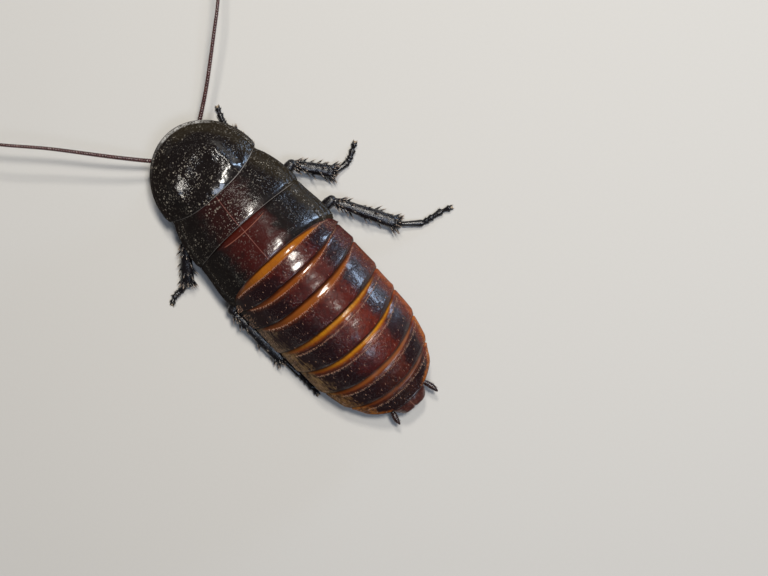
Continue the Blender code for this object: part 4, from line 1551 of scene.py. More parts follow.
@dataclass
class BellyPlate:
    """One plate of the underside, lapped over the next like the back plates."""

    name: str
    front: Edge
    rear: Edge
    inset: float
    finish: bpy.types.Material
    columns: int = 70
    rows: int = 18
    tuck: float = 0.7
    thickness: float = 0.3
    front_rows: tuple[float, ...] = (-1, -0.9, -0.5)
    rear_rows: tuple[float, ...] = (0.07, 0.045, 0.025, 0.01, 0.0)

    def build(self) -> bpy.types.Object:
        """Builds the plate.

        Returns:
            The plate.
        """
        t = np.linspace(-1, 1, self.columns)
        across = 0.6 * t + 0.4 * np.sin(t * np.pi / 2)
        rows = np.concatenate([self.front_rows, np.linspace(0, 0.9, self.rows), 1 - np.array(self.rear_rows)])
        u, v = np.meshgrid(across, rows)
        visible, tucked = np.clip(v, 0, 1), np.clip(-v, 0, 1)
        (front, front_lead, _), (rear, rear_lead, _) = self.front, self.rear
        side_place = (front - front_lead + TRUNK.gap) * (1 - visible) + (rear - rear_lead) * visible
        x = u * (TRUNK.half_width(side_place) - self.inset)
        start, end = TRUNK.edge(self.front, x), TRUNK.edge(self.rear, x)
        s = start + TRUNK.gap + (end - start - TRUNK.gap) * visible - tucked * self.tuck
        roof = through(MARGIN_HEIGHTS, side_place) - 0.1
        lift = 0.15 - 0.15 * visible + 0.3 * tucked
        arch = 1 - np.abs(u) ** 2.6
        place = (front + rear) / 2 * (1 - visible) + rear * visible
        depth = roof - self.thickness - through(BELLY_HEIGHTS, place)
        z = roof - self.thickness - (depth - lift) * arch
        z += 0.1 * ripple(np.stack([x, s, z], -1), 1.8) * arch
        full = closed(rounding(end - s, 0.16) * rounding((1 - np.abs(u)) * 9, 0.3))
        pinch = (1 - full) * self.thickness / 2
        placed = TRUNK.swayed(x, s)
        lower = np.stack([placed, s, z + pinch], -1)
        upper = np.stack([placed, s, np.maximum(roof, z + self.thickness) - pinch], -1)
        upper[0], upper[-1], upper[:, 0], upper[:, -1] = lower[0], lower[-1], lower[:, 0], lower[:, -1]
        piece = Piece(self.name + "_plate")
        points, faces = shell(lower, upper)
        piece.add(points, faces, 0, seam=over_shell(step(0.25, 0.05, end - s) * 0.8))
        return piece.build([self.finish], Slot.BROWN, self.name)


# The legs

LEG_PLACES: dict[str, dict[str, Any]] = {
    "fore_right": {
        "coxa": ((-5.0, 8.4, 3.6), (-2.4, 11.5, 2.0)),
        "knee": (-8.2, 11.0, 3.3),
        "ankle": (-7.3, 5.8, 1.2),
        "foot": ((-7.35, 5.0), (-7.5, 3.8), (-7.75, 2.9), (-8.1, 2.0), (-8.45, 1.15)),
    },
    "fore_left": {
        "coxa": ((5.0, 8.4, 3.6), (2.4, 11.5, 2.0)),
        "knee": (8.0, 12.0, 3.3),
        "ankle": (6.3, 7.2, 1.2),
        "foot": ((6.1, 6.5), (5.9, 5.4), (5.75, 4.6), (5.75, 3.9), (5.95, 3.2)),
    },
    "mid_right": {
        "coxa": ((-6.2, 14.6, 3.3), (-2.5, 18.3, 1.95)),
        "knee": (-11.6, 16.6, 3.6),
        "ankle": (-15.9, 22.1, 1.35),
        "foot": ((-16.7, 22.5), (-18.6, 22.3), (-19.6, 21.9), (-20.6, 21.3), (-21.4, 20.8)),
    },
    "mid_left": {
        "coxa": ((6.2, 14.6, 3.3), (2.5, 18.3, 1.95)),
        "knee": (9.9, 14.2, 3.5),
        "ankle": (14.85, 19.4, 1.3),
        "foot": ((15.6, 19.6), (16.8, 19.4), (17.6, 19.4), (18.3, 19.5), (19.0, 19.9)),
    },
    "hind_right": {
        "coxa": ((-6.6, 21.0, 3.2), (-2.7, 25.6, 1.8)),
        "knee": (-12.6, 25.4, 3.65),
        "ankle": (-18.1, 35.5, 1.4),
        "foot": ((-18.8, 36.3), (-21.2, 38.1), (-23.0, 38.4), (-24.8, 38.7), (-26.1, 39.2)),
    },
    "hind_left": {
        "coxa": ((6.6, 21.0, 3.2), (2.7, 25.6, 1.8)),
        "knee": (11.8, 27.9, 3.45),
        "ankle": (11.4, 39.8, 1.35),
        "foot": ((11.3, 40.9), (11.1, 43.3), (11.0, 45.0), (10.95, 46.3), (11.0, 47.4)),
    },
}


@dataclass
class Leg:
    """One leg: coxa, femur, tibia and the five-jointed foot, with spines and hairs."""

    name: str
    places: dict[str, Any]
    coxa_finish: bpy.types.Material
    finish: bpy.types.Material
    pad_finish: bpy.types.Material
    spine_rows: tuple[SpineRow, ...] = (
        (3.0, 5, 0.25, 0.92, 1.1),
        (35.0, 6, 0.15, 0.9, 0.7),
        (70.0, 6, 0.2, 0.92, 0.6),
        (110.0, 6, 0.18, 0.9, 0.6),
        (145.0, 7, 0.15, 0.94, 0.75),
        (183.0, 5, 0.3, 0.94, 1.2),
        (228.0, 5, 0.35, 0.94, 1.6),
        (-40.0, 5, 0.35, 0.94, 1.6),
    )
    foot_height: float = 0.56
    pad_depth: float = 0.17

    def __post_init__(self) -> None:
        """Works out the joints."""
        self.dice = random.Random(self.name)
        self.root, self.hip = (np.array(p) for p in self.places["coxa"])
        self.knee, self.ankle = np.array(self.places["knee"]), np.array(self.places["ankle"])

    @staticmethod
    def stations(first: Array, last: Array, rows: Iterable[Point]) -> Array:
        """Stations on a straight line: rows of how far along, half the width and half the depth."""
        return np.array([[*(first + (last - first) * t), width, depth] for t, width, depth in rows])

    def hairs(self, piece: Piece, limb: Limb, count: int, length: float) -> None:
        """Scatters short hairs over a limb.

        Args:
            piece: The limb's piece.
            limb: The limb.
            count: How many hairs it has.
            length: Their mean length, in millimetres.
        """
        for _ in range(count):
            root, outward, along = limb.spot(self.dice.uniform(0.08, 0.95), self.dice.uniform(-180, 180))
            hair = Thorn(length * self.dice.uniform(0.7, 1.2), 0.022, 3, 0.2, 0.05, 1.0)
            hair.add_to(piece, root, outward * 0.6 + along, outward)

    def spines(self, piece: Piece, limb: Limb, rows: Iterable[SpineRow], radius: float) -> None:
        """Sets rows of strong spines on a limb.

        Args:
            piece: The limb's piece.
            limb: The limb.
            rows: Each row's angle round the limb, count, first and last place, and length of spine.
            radius: Half the width of a long spine, in millimetres.
        """
        for angle, count, first, last, length in rows:
            for k in range(count):
                t = first + (last - first) * (k + self.dice.uniform(-0.2, 0.2)) / max(count - 1, 1)
                root, outward, along = limb.spot(min(max(t, 0.05), 0.96), angle + self.dice.uniform(-9, 9))
                reach = length * self.dice.uniform(0.8, 1.15)
                lean = unit(outward + along * self.dice.uniform(0.65, 0.95))
                if lean[2] < 0:
                    reach = min(reach, max((root[2] - 0.15) / -lean[2], 0.4))
                thick = radius * (0.75 + 0.25 * reach / 1.5)
                Thorn(reach, thick, 7, 0.16, 0.25).add_to(piece, root, lean, along)

    def build_coxa(self) -> None:
        """The broad, flat first segment, darker at its end."""
        rows = ((0.0, 1.15, 0.8), (0.2, 1.6, 0.9), (0.4, 1.72, 0.88), (0.75, 1.2, 0.8), (1.0, 0.75, 0.6))
        limb = Limb(self.stations(self.root, self.hip, rows), 34, 26, square=2.5)
        points, faces, along = limb.mesh()
        points = points + 0.06 * unit(points - points.mean(0)) * ripple(points, 1.1)[:, None]
        piece = Piece(self.name + "_coxa_segment")
        piece.add(points, faces, 0, seam=np.clip((along - 0.9) * 6, 0, 0.7))
        self.hairs(piece, limb, 26, 0.35)
        piece.build([self.coxa_finish], Slot.BROWN, self.name + "_coxa")

    def build_femur(self) -> None:
        """The thigh, flattened from front to back, with two rows of small spines below."""
        thigh = unit(self.knee - self.hip)
        start = self.hip + thigh * 0.1
        rows = (
            (0.0, 0.5, 0.55), (0.06, 0.62, 0.7), (0.12, 0.6, 0.68), (0.25, 0.8, 0.98),
            (0.5, 0.95, 1.18), (0.8, 0.98, 1.1), (0.93, 0.98, 1.0), (1.0, 0.84, 0.88),
        )
        limb = Limb(self.stations(start, self.knee, rows), 54, 24, square=2.3)
        points, faces, along = limb.mesh()
        points = points + 0.04 * unit(points - points.mean(0)) * ripple(points, 0.8)[:, None]
        seam = np.clip(1 - np.abs(along - 0.12) / 0.025, 0, 0.8)
        piece = Piece(self.name + "_femur_segment")
        piece.add(points, faces, 0, seam=seam)
        self.spines(piece, limb, ((-60, 4, 0.4, 0.9, 0.8), (-120, 3, 0.45, 0.9, 0.7)), 0.13)
        self.hairs(piece, limb, 40, 0.3)
        piece.build([self.finish], Slot.LEG, self.name + "_femur")

    def build_tibia(self) -> None:
        """The shin, widening to the ankle, with rows of strong spines and a crown of spurs."""
        shin = unit(self.ankle - self.knee)
        bent = self.knee + np.array([0, 0, 0.15]) + shin * 0.05
        rows = (
            (0.0, 0.5, 0.52), (0.06, 0.62, 0.62), (0.12, 0.66, 0.64), (0.2, 0.78, 0.72),
            (0.55, 0.98, 0.84), (0.88, 1.08, 0.92), (0.96, 1.0, 0.86), (1.0, 0.76, 0.7),
        )
        limb = Limb(self.stations(bent, self.ankle, rows), 60, 24, square=2.4)
        points, faces, along = limb.mesh()
        centre = np.repeat(limb.at(along[:: limb.sides])[0], limb.sides, axis=0)
        rough = 0.09 * ripple(points, 0.5, 3) + 0.06 * granules(points, 0.34)
        points = points + unit(points - centre) * (rough * step(0.08, 0.2, along))[:, None]
        seam = np.clip(1 - np.abs(along - 0.09) / 0.03, 0, 0.8)
        piece = Piece(self.name + "_tibia_segment")
        piece.add(points, faces, 0, seam=seam)
        self.spines(piece, limb, self.spine_rows, 0.2)
        crown = [(60.0 * k + 15, 1, 0.95, 0.95, 1.0) for k in range(6)]
        self.spines(piece, limb, crown, 0.18)
        self.hairs(piece, limb, 60, 0.3)
        piece.build([self.finish], Slot.LEG, self.name + "_tibia")

    def claw(self, piece: Piece, root: Array, ahead: Array, aside: Array) -> None:
        """One curved claw."""
        reach, bend = ahead * 0.9 + aside * 0.5, -UP * 0.6 - aside * 0.8
        Thorn(0.85, 0.17, 8, 0.5, 0.2, 1.1).add_to(piece, root, reach, bend)

    def build_foot(self) -> None:
        """Five joints with pale pads underneath, an end pad and two claws."""
        places = [np.array([x, s, self.foot_height]) for x, s in self.places["foot"]]
        root = self.ankle + (places[0] - self.ankle) * 0.2
        joints = [root, places[1], (places[1] + places[2]) / 2, places[2], places[3], places[4]]
        piece = Piece(self.name + "_tarsus_segment")
        for number, (a, b) in enumerate(zip(joints, joints[1:])):
            last = number == 4
            thick = 0.54 if last else 0.53
            shape = (0.5, 0.55, 0.78, 1.05, 0.95) if last else (0.72, 0.82, 0.98, 1.12, 0.92)
            along_joint = zip((0.0, 0.3, 0.7, 0.92, 1.0), shape)
            rows = tuple((t, thick * w, thick * min(w, 0.9)) for t, w in along_joint)
            limb = Limb(self.stations(a, b, rows), 18, 16, blunt=0.5)
            points, faces, along = limb.mesh()
            piece.add(points, faces, 0, seam=np.clip(1 - along * 9, 0, 0.8))
            self.hairs(piece, limb, 14 if not last else 8, 0.3)
            pad = a + (b - a) * 0.85
            pad[2] = self.pad_depth
            if not last:
                sole = ((0, 0.3, self.pad_depth), (1, 0.33, self.pad_depth))
                stations = self.stations(pad - (b - a) * 0.16, pad + (b - a) * 0.08, sole)
                points, faces, _ = Limb(stations, 6, 12).mesh()
                points[:, 2] = np.maximum(points[:, 2], 0.0)
                piece.add(points, faces, 1)
        ahead = unit(places[4] - places[3])
        aside = np.cross(ahead, UP)
        end = np.array([places[4][0], places[4][1], 0.46]) + ahead * 0.1
        for turn in (-1, 1):
            self.claw(piece, end + aside * 0.2 * turn, ahead, aside * turn)
        cushion = ((0, 0.2, 0.16), (1, 0.3, 0.12))
        stations = self.stations(end - UP * 0.18, end + ahead * 0.42 - UP * 0.22, cushion)
        points, faces, _ = Limb(stations, 8, 12).mesh()
        piece.add(points, faces, 1)
        piece.build([self.finish, self.pad_finish], Slot.LEG, self.name + "_tarsus")

    def build(self) -> None:
        """Builds the whole leg."""
        self.build_coxa()
        self.build_femur()
        self.build_tibia()
        self.build_foot()


# The head

CROWN, FACE_END = np.array([0.0, 3.9, 6.9]), np.array([0.0, 6.3, 1.7])
DOWN = unit(FACE_END - CROWN)
AHEAD = np.array([0.0, DOWN[2], -DOWN[1]])


@dataclass
class Head:
    """The head under the shield: capsule, eyes, simple eyes, lips and palps."""

    skin: bpy.types.Material
    mouth: bpy.types.Material
    eye: bpy.types.Material
    pale: bpy.types.Material
    sections: tuple[Point, ...] = (
        (0.0, 0.9, 0.6), (0.07, 2.0, 1.2), (0.2, 2.8, 1.65), (0.38, 3.1, 1.85),
        (0.58, 2.75, 1.75), (0.78, 2.05, 1.4), (0.92, 1.62, 1.05), (1.0, 1.4, 0.88),
    )
    eye_place: Point = (2.65, 4.35, 5.3)
    eye_radii: Point = (0.75, 0.85, 1.35)
    eye_bend: float = 0.12
    eye_lean: float = 25.0
    upper_lip: tuple[Point, ...] = (
        (-0.6, 1.0, 0.32), (0.0, 1.12, 0.42), (0.5, 0.95, 0.34), (0.72, 0.6, 0.2),
    )
    lower_lip: tuple[Point, ...] = (
        (-1.6, 1.05, 0.46), (-0.6, 0.98, 0.48), (0.1, 0.7, 0.38), (0.3, 0.5, 0.28),
    )
    short_palp: tuple[Point, ...] = (
        (0, 0, 0), (0.4, 0.12, -0.25), (0.8, 0.2, -0.45), (1.2, -0.2, -0.6), (1.5, -0.5, -0.75),
    )
    long_palp: tuple[Point, ...] = (
        (0, 0, 0), (0.45, 0.05, -0.15), (0.9, 0.1, -0.3),
        (1.7, -0.9, -0.75), (1.9, -2.2, -1.2), (1.62, -3.4, -1.45),
    )

    def build_capsule(self) -> None:
        """The head capsule, with a shallow seam over the face and the two simple eyes."""
        keys = np.array([row[0] for row in self.sections])
        sizes = np.array([row[1:] for row in self.sections])
        t = np.linspace(0, 1, 60)
        width, depth = hermite(keys, sizes, t).T
        angle = 2 * np.pi * np.arange(48) / 48
        middle = CROWN + (FACE_END - CROWN) * t[:, None]
        rings = (
            middle[:, None]
            + np.array([1.0, 0, 0]) * (width[:, None] * np.cos(angle))[..., None]
            + AHEAD * (depth[:, None] * np.sin(angle))[..., None]
        )
        points, faces = loft(rings)
        points = points + 0.07 * unit(points - points.mean(0)) * ripple(points, 1.3)[:, None]
        face = (points - CROWN) @ AHEAD
        arch = (points - CROWN) @ DOWN
        seam = bell(arch - 3.9 - 0.25 * np.abs(points[:, 0]), 0.1) * step(0.2, 0.8, face) * 0.9
        points = points - AHEAD * (seam * 0.08)[:, None]
        piece = Piece("head_capsule")
        piece.add(points, faces, 0, seam=seam)
        for side in (-1, 1):
            spot = CROWN + DOWN * 1.9 + AHEAD * 1.58 + np.array([1.25 * side, 0, 0])
            ends = np.array([[*(spot + DOWN * shift), 0.24, 0.14] for shift in (-0.1, 0.1)])
            points, faces, _ = Limb(ends, 6, 14, up=AHEAD).mesh()
            piece.add(points, faces, 1)
        piece.build([self.skin, self.pale], Slot.BLACK, "head")

    def build_eye(self, side: Side) -> None:
        """Builds a kidney-shaped compound eye.

        Args:
            side: The side that it is on.
        """
        wide, deep, tall = self.eye_radii
        lean = math.radians(self.eye_lean)
        band, turn = np.linspace(0.02, np.pi - 0.02, 34), 2 * np.pi * np.arange(40) / 40
        x = wide * np.sin(band)[:, None] * np.cos(turn)
        s = deep * np.sin(band)[:, None] * np.sin(turn) + self.eye_bend * np.cos(band)[:, None] ** 2
        z = tall * np.cos(band)[:, None] * np.ones_like(turn)
        ball = np.stack([x, s * np.cos(lean) - z * np.sin(lean), s * np.sin(lean) + z * np.cos(lean)], -1)
        across, along, up = self.eye_place
        points, faces = loft(ball + np.array([across * side.value, along, up]))
        piece = Piece(f"compound_eye_{side.word}")
        piece.add(points, faces)
        piece.build([self.eye], Slot.EYE, "eye_" + side.word)

    def lip(self, middle: Array, shape: tuple[Point, ...]) -> tuple[Array, Faces]:
        """One lip, from rows of how far down the face, half the width and half the depth."""
        rows = np.array([[*(middle + DOWN * down), width, depth] for down, width, depth in shape])
        return Limb(rows, 22, 24, up=AHEAD).mesh()[:2]

    def build_lips(self) -> None:
        """Builds the upper lip, and the lower lip with its short palps."""
        piece = Piece("upper_lip")
        piece.add(*self.lip(FACE_END + DOWN * 0.1 + AHEAD * 0.35, self.upper_lip))
        piece.build([self.mouth], Slot.BROWN, "labrum")
        piece = Piece("lower_lip")
        piece.add(*self.lip(FACE_END - AHEAD * 0.85, self.lower_lip))
        for side in (-1, 1):
            root = FACE_END - AHEAD * 0.8 + np.array([0.5 * side, 0, 0])
            self.add_palp(piece, root, self.short_palp, side, 0.26)
        piece.build([self.mouth], Slot.BROWN, "labium")

    def add_palp(
        self, piece: Piece, root: Array, offsets: tuple[Point, ...], side: int, radius: float
    ) -> None:
        """Adds a jointed palp.

        Args:
            piece: The piece that it is added to.
            root: The point that it grows from.
            offsets: Its joints, from its root, for the left side.
            side: 1 for the left side and -1 for the right.
            radius: Half its width, in millimetres.
        """
        joints = [root + np.array([x * side, s, z]) for x, s, z in offsets]
        for number, (a, b) in enumerate(zip(joints, joints[1:])):
            wide = radius * (1.12 if number == len(joints) - 2 else 1.0)
            rows = ((0.0, wide * 0.72, wide * 0.72), (0.5, wide * 0.9, wide * 0.9), (0.95, wide, wide))
            limb = Limb(Leg.stations(a, b, rows), 12, 14, blunt=0.7)
            points, faces, along = limb.mesh()
            piece.add(points, faces, 0, seam=np.clip(1 - along * 7, 0, 0.8))

    def build_palp(self, side: Side) -> None:
        """Builds one of the two long palps.

        Args:
            side: The side that it is on.
        """
        root = FACE_END + np.array([1.75 * side.value, 0.3, 0.5])
        piece = Piece(f"long_palp_{side.word}")
        self.add_palp(piece, root, self.long_palp, side.value, 0.29)
        piece.build([self.mouth], Slot.BROWN, "maxillary_palp_" + side.word)

    def build(self) -> None:
        """Builds the head."""
        self.build_capsule()
        self.build_lips()
        for side in Side:
            self.build_eye(side)
            self.build_palp(side)


@dataclass
class Antenna:
    """One antenna: the stout base joints and the ringed flagellum."""

    side: Side
    route: tuple[Point, ...]
    finish: bpy.types.Material
    base_length: float = 3.0
    ring: float = 0.42
    root_radius: float = 0.38
    tip_radius: float = 0.235

    def build(self) -> None:
        """Builds the antenna in two pieces."""
        fine = flow(np.array(self.route), np.linspace(0, len(self.route) - 1, 800))
        lengths = np.concatenate([[0], np.cumsum(np.linalg.norm(np.diff(fine, axis=0), axis=1))])

        def place(at: Array) -> Array:
            """Points at distances along the antenna."""
            return np.stack([np.interp(at, lengths, fine[:, axis]) for axis in range(3)], -1)

        piece = Piece(f"antenna_base_{self.side.word}")
        joints = ((0.0, 1.85, 0.34, 0.5), (1.9, 2.5, 0.3, 0.38), (2.52, 3.0, 0.3, 0.37))
        for low, high, thin, thick in joints:
            at = np.linspace(low, high, 8)
            size = np.interp(at, [low, (low + high) / 2, high], [thin, thick, thick * 0.92])
            rows = np.column_stack([place(at), size, size])
            points, faces, along = Limb(rows, 22, 18, blunt=0.5).mesh()
            piece.add(points, faces, 0, seam=np.clip(1 - along * 8, 0, 0.8))
        piece.build([self.finish], Slot.ANTENNA, f"antenna_{self.side.word}_base")

        total = lengths[-1] - self.tip_radius
        count = int((total - self.base_length) / self.ring)
        marks = self.base_length + (total - self.base_length) * (np.arange(count + 1) / count)
        shape = ((0.0, 0.8), (0.14, 0.93), (0.42, 1.02), (0.72, 1.02), (0.92, 0.9))
        at = np.array([a + (b - a) * t for a, b in zip(marks, marks[1:]) for t, _ in shape])
        scale = np.tile([size for _, size in shape], count)
        seam = np.tile([0.9, 0.3, 0.0, 0.0, 0.5], count)
        share = (at - self.base_length) / (total - self.base_length)
        radius = (self.root_radius + (self.tip_radius - self.root_radius) * share) * scale
        middle = place(at)
        along = unit(np.gradient(middle, axis=0))
        side = unit(np.cross(along, UP))
        deep = np.cross(side, along)
        angle = 2 * np.pi * np.arange(12) / 12
        rings = middle[:, None] + radius[:, None, None] * (
            side[:, None] * np.cos(angle)[None, :, None] + deep[:, None] * np.sin(angle)[None, :, None]
        )
        piece = Piece(f"antenna_flagellum_{self.side.word}")
        points, faces = loft(rings)
        piece.add(points, faces, 0, seam=np.repeat(seam, 12))
        word = self.side.word
        piece.build([self.finish], Slot.ANTENNA, f"antenna_{word}_1", f"antenna_{word}_2")


# The tail


@dataclass
class Tail:
    """The two-lobed plate at the tip of the tail, and the two short cerci."""

    skin: bpy.types.Material
    cercus_skin: bpy.types.Material
    half_width: float = 3.25
    rear: float = 59.8
    thickness: float = 0.4
    cercus_rings: int = 12
    cercus_shape: tuple[tuple[float, ...], ...] = (
        (-1.3, -2.0, 0.35, 0.36, 0.3), (-0.35, -0.9, 0.15, 0.42, 0.36), (0.05, 0.0, 0.0, 0.5, 0.4),
        (0.3, 0.8, 0.0, 0.52, 0.41), (0.4, 1.4, -0.05, 0.42, 0.34), (0.45, 1.95, -0.1, 0.2, 0.2),
    )

    def build_plate(self) -> None:
        """The two-lobed plate."""
        t = np.linspace(-1, 1, 90)
        rows = np.concatenate([[-1, -0.9, -0.5], np.linspace(0, 0.9, 20), [0.93, 0.96, 0.98, 0.993, 1.0]])
        u, v = np.meshgrid(np.sin(t * np.pi / 2), rows)
        visible, tucked = np.clip(v, 0, 1), np.clip(-v, 0, 1)
        x = u * self.half_width * (1 - 0.1 * visible)
        front = TRUNK.edge(REAR_EDGES["tergite_7"], x) + TRUNK.gap
        rear = self.rear - 1.1 * np.abs(u) ** 5 - 0.16 * bell(u, 0.07)
        s = front + (rear - front) * visible - 0.8 * tucked
        z = 4.9 - 0.7 * visible - 0.9 * u**2 + 0.2 * tucked - 0.08 * bell(u, 0.08) * visible
        z += 0.06 * ripple(np.stack([x, s, z], -1), 0.8)
        full = closed(rounding(rear - s, 0.2) * rounding((1 - np.abs(u)) * 3, 0.25))
        pinch = (1 - full) * self.thickness / 2
        placed = TRUNK.swayed(x, s)
        top = np.stack([placed, s, z - pinch], -1)
        bottom = np.stack([placed, s, z - self.thickness + pinch], -1)
        piece = Piece("tail_plate")
        points, faces = shell(top, bottom)
        piece.add(points, faces, 0, tip=over_shell(bell(x, 0.12) * 0.8))
        piece.build([self.skin], Slot.BROWN, "supra_anal_plate")

    def build_cercus(self, side: Side) -> None:
        """Builds a short, ringed, bristly cercus.

        Args:
            side: The side that it is on.
        """
        root = np.array([TRUNK.swayed(np.array(3.7 * side.value), np.array(58.0)), 58.35, 2.6])
        rows = [[*(root + np.array([x * side.value, s, z])), w, d] for x, s, z, w, d in self.cercus_shape]
        limb = Limb(np.array(rows), 90, 18)
        points, faces, along = limb.mesh()
        rings = 0.5 + 0.5 * np.cos(along * 2 * np.pi * self.cercus_rings)
        middle = np.repeat(limb.at(along[:: limb.sides])[0], limb.sides, axis=0)
        points = middle + (points - middle) * (1 - 0.09 * rings)[:, None]
        piece = Piece(f"cercus_{side.word}_ringed")
        piece.add(points, faces, 0, seam=rings * 0.5)
        dice = random.Random(5)
        for _ in range(26):
            spot, outward, ahead = limb.spot(dice.uniform(0.45, 0.95), dice.uniform(-180, 180))
            Thorn(0.3, 0.02, 3, 0.2, 0.05, 1.0).add_to(piece, spot, outward + ahead * 0.6, ahead)
        piece.build([self.cercus_skin], Slot.BROWN, "cercus_" + side.word)

    def build(self) -> None:
        """Builds the tail."""
        self.build_plate()
        for side in Side:
            self.build_cercus(side)


@dataclass
class Throat:
    """The soft trunk under the shield, from the neck to the middle segment."""

    skin: bpy.types.Material
    shield: Shield
    half_width: float = 6.2
    front: float = 5.6
    roof_gap: float = 1.3

    def build(self) -> None:
        """Builds the piece."""
        across = np.sin(np.linspace(-1, 1, 60) * np.pi / 2)
        u, v = np.meshgrid(across, np.linspace(0, 1, 30))
        x = u * self.half_width * (0.75 + 0.25 * np.minimum(v * 2, 1))
        rear = TRUNK.edge(REAR_EDGES["pronotum"], x)
        s = self.front + (rear + 0.6 - self.front) * v
        top = self.shield.height(x, np.minimum(s, rear)) - self.roof_gap
        bottom = 4.9 - 1.7 * (1 - np.abs(u) ** 2.4)
        bottom = bottom + 0.12 * ripple(np.stack([x, s, bottom], -1), 1.2)
        bottom[0], bottom[-1] = top[0], top[-1]
        top[:, 0], top[:, -1] = bottom[:, 0], bottom[:, -1]
        piece = Piece("throat")
        piece.add(*shell(np.stack([x, s, top], -1), np.stack([x, s, bottom], -1)), seam=0.0)
        piece.build([self.skin], Slot.BROWN, "prothorax")


# The whole


@dataclass
class Back:
    """The plates behind the shield."""

    bristle: bpy.types.Material
    thorax_flatness: float = 1.1
    flatness: float = 0.92

    def plate(self, name: str, finish: PlateFinish | ShieldFinish, **sizes: float) -> BackPlate:
        """One plate, which starts where the one ahead of it ends.

        Args:
            name: Its node's name.
            finish: Its finish.
            sizes: Those of its sizes that differ from most plates'.

        Returns:
            The plate.
        """
        names = list(REAR_EDGES)
        front = REAR_EDGES[names[names.index(name) - 1]]
        dark = name.endswith("notum")
        flatness, slot = (self.thorax_flatness, Slot.BLACK) if dark else (self.flatness, Slot.DARK_RED)
        return BackPlate(name, front, REAR_EDGES[name], flatness, finish, slot, **sizes)

    def thorax(self) -> list[BackPlate]:
        """The two black plates behind the shield.

        Returns:
            The plates.
        """
        mesonotum = ShieldFinish(
            "mesonotum_skin", red=0.4, suture=0.8, rear_line=0.5, dust=0.5, calm=0.55,
            polish=Polish(1.0, 1.2, -0.6, -9.2),
        )
        metanotum = ShieldFinish(
            "metanotum_skin", red=1.0, suture=0.8, front_strip=1.0, rear_line=0.15, dust=0.18, rough=0.19,
            polish=Polish(0.9, 1.3, -1.2, -10.4), calm=0.88,
        )
        return [
            self.plate("mesonotum", mesonotum, gutter=0.1, tuck=1.2, roll=0.2, roll_reach=0.9),
            self.plate(
                "metanotum", metanotum, collar=1.15, collar_reach=0.6, collar_drop=0.08,
                gutter=0.14, roll=0.34, roll_reach=1.3,
            ),
        ]

    def front_half(self) -> list[BackPlate]:
        """The first three plates of the hind body, which are dark behind a broad smooth collar.

        Returns:
            The plates.
        """
        first = PlateFinish(
            "tergite_1_skin", collar=(0.3, 0.098, 0.005), glow=0.1, rim_strength=0.05, left_rim=DARK_LEFT_MARGIN,
            soft=0.12, gloss=1.0, relief=0.032, left_strength=0.5,
        )
        second = PlateFinish(
            "tergite_2_skin", collar=(0.16, 0.042, 0.005), glow=0.2, shadow=0.4, rim_strength=0.07,
            left_rim=DARK_LEFT_MARGIN, soft=0.14, gloss=0.75, relief=0.045, calm=0.7, left_strength=0.5,
        )
        third = PlateFinish(
            "tergite_3_skin", collar=(0.19, 0.055, 0.007), glow=0.3, shadow=0.35, rim_strength=0.28,
            left_rim=(0.2, 0.13, 0.075), soft=0.2, gloss=0.75, relief=0.05, calm=0.8,
        )
        return [
            self.plate("tergite_1", first, collar=1.45, collar_reach=0.82, bristles=110, crown=0.075),
            self.plate(
                "tergite_2", second, collar=1.05, collar_reach=0.82, collar_roll=0.1, bristles=110, fall=0.5
            ),
            self.plate(
                "tergite_3", third, collar=1.3, collar_reach=1.0, collar_roll=0.12, bristles=110, fall=0.5
            ),
        ]

    def middle_pair(self) -> list[BackPlate]:
        """The fourth and fifth plate, with the brightest collars.

        Returns:
            The plates.
        """
        fourth = PlateFinish(
            "tergite_4_skin", collar=(0.36, 0.15, 0.004), glow=0.6, rim_strength=0.7, soft=0.45, dust=0.4,
            relief=0.05, collar_coat=0.15, collar_rough=0.28, calm=0.6, collar_calm=0.5,
        )
        fifth = PlateFinish(
            "tergite_5_skin", collar=(0.38, 0.155, 0.004), glow=0.5, rim_strength=0.8, soft=0.4, dust=0.4,
            relief=0.05, collar_coat=0.6, collar_rough=0.18, calm=0.15, collar_calm=0.85,
        )
        shared = {"collar_reach": 1.05, "bristles": 110, "fall": 0.5}
        return [
            self.plate("tergite_4", fourth, collar=0.76, ridge_shift=0.9, **shared),
            self.plate("tergite_5", fifth, collar=0.66, ridge_shift=0.8, **shared),
        ]

    def rear_pair(self) -> list[BackPlate]:
        """The last two plates, with dull collars and orange rims.

        Returns:
            The plates.
        """
        sixth = PlateFinish(
            "tergite_6_skin", collar=(0.16, 0.05, 0.009), centre=(0.028, 0.007, 0.005), glow=0.3,
            rim=ORANGE, rim_strength=0.9, left_rim=(0.23, 0.11, 0.035), soft=0.3, ridge_line=0.35,
            dust=0.4, rear_rim=0.25, left_strength=0.85, collar_coat=0.0, collar_rough=0.4, collar_calm=0.85,
        )
        seventh = PlateFinish(
            "tergite_7_skin", collar=(0.045, 0.02, 0.008), centre=(0.016, 0.007, 0.006), glow=0.1,
            blotch=0.7, rim=ORANGE, rim_strength=0.95, left_rim=(0.3, 0.11, 0.025), ridge_line=0.25,
            dust=0.4, rear_rim=0.9, left_strength=1.0, collar_coat=0.0, collar_rough=0.4, collar_calm=0.85,
        )
        shared = {"collar_reach": 1.1, "collar_roll": 0.0}
        return [
            self.plate("tergite_6", sixth, collar=0.6, ridge_shift=0.7, bristles=90, **shared),
            self.plate("tergite_7", seventh, collar=0.4, ridge_shift=0.8, bristles=70, **shared),
        ]

    def build(self) -> None:
        """Builds all of them."""
        for plate in self.thorax() + self.front_half() + self.middle_pair() + self.rear_pair():
            plate.build(self.bristle)


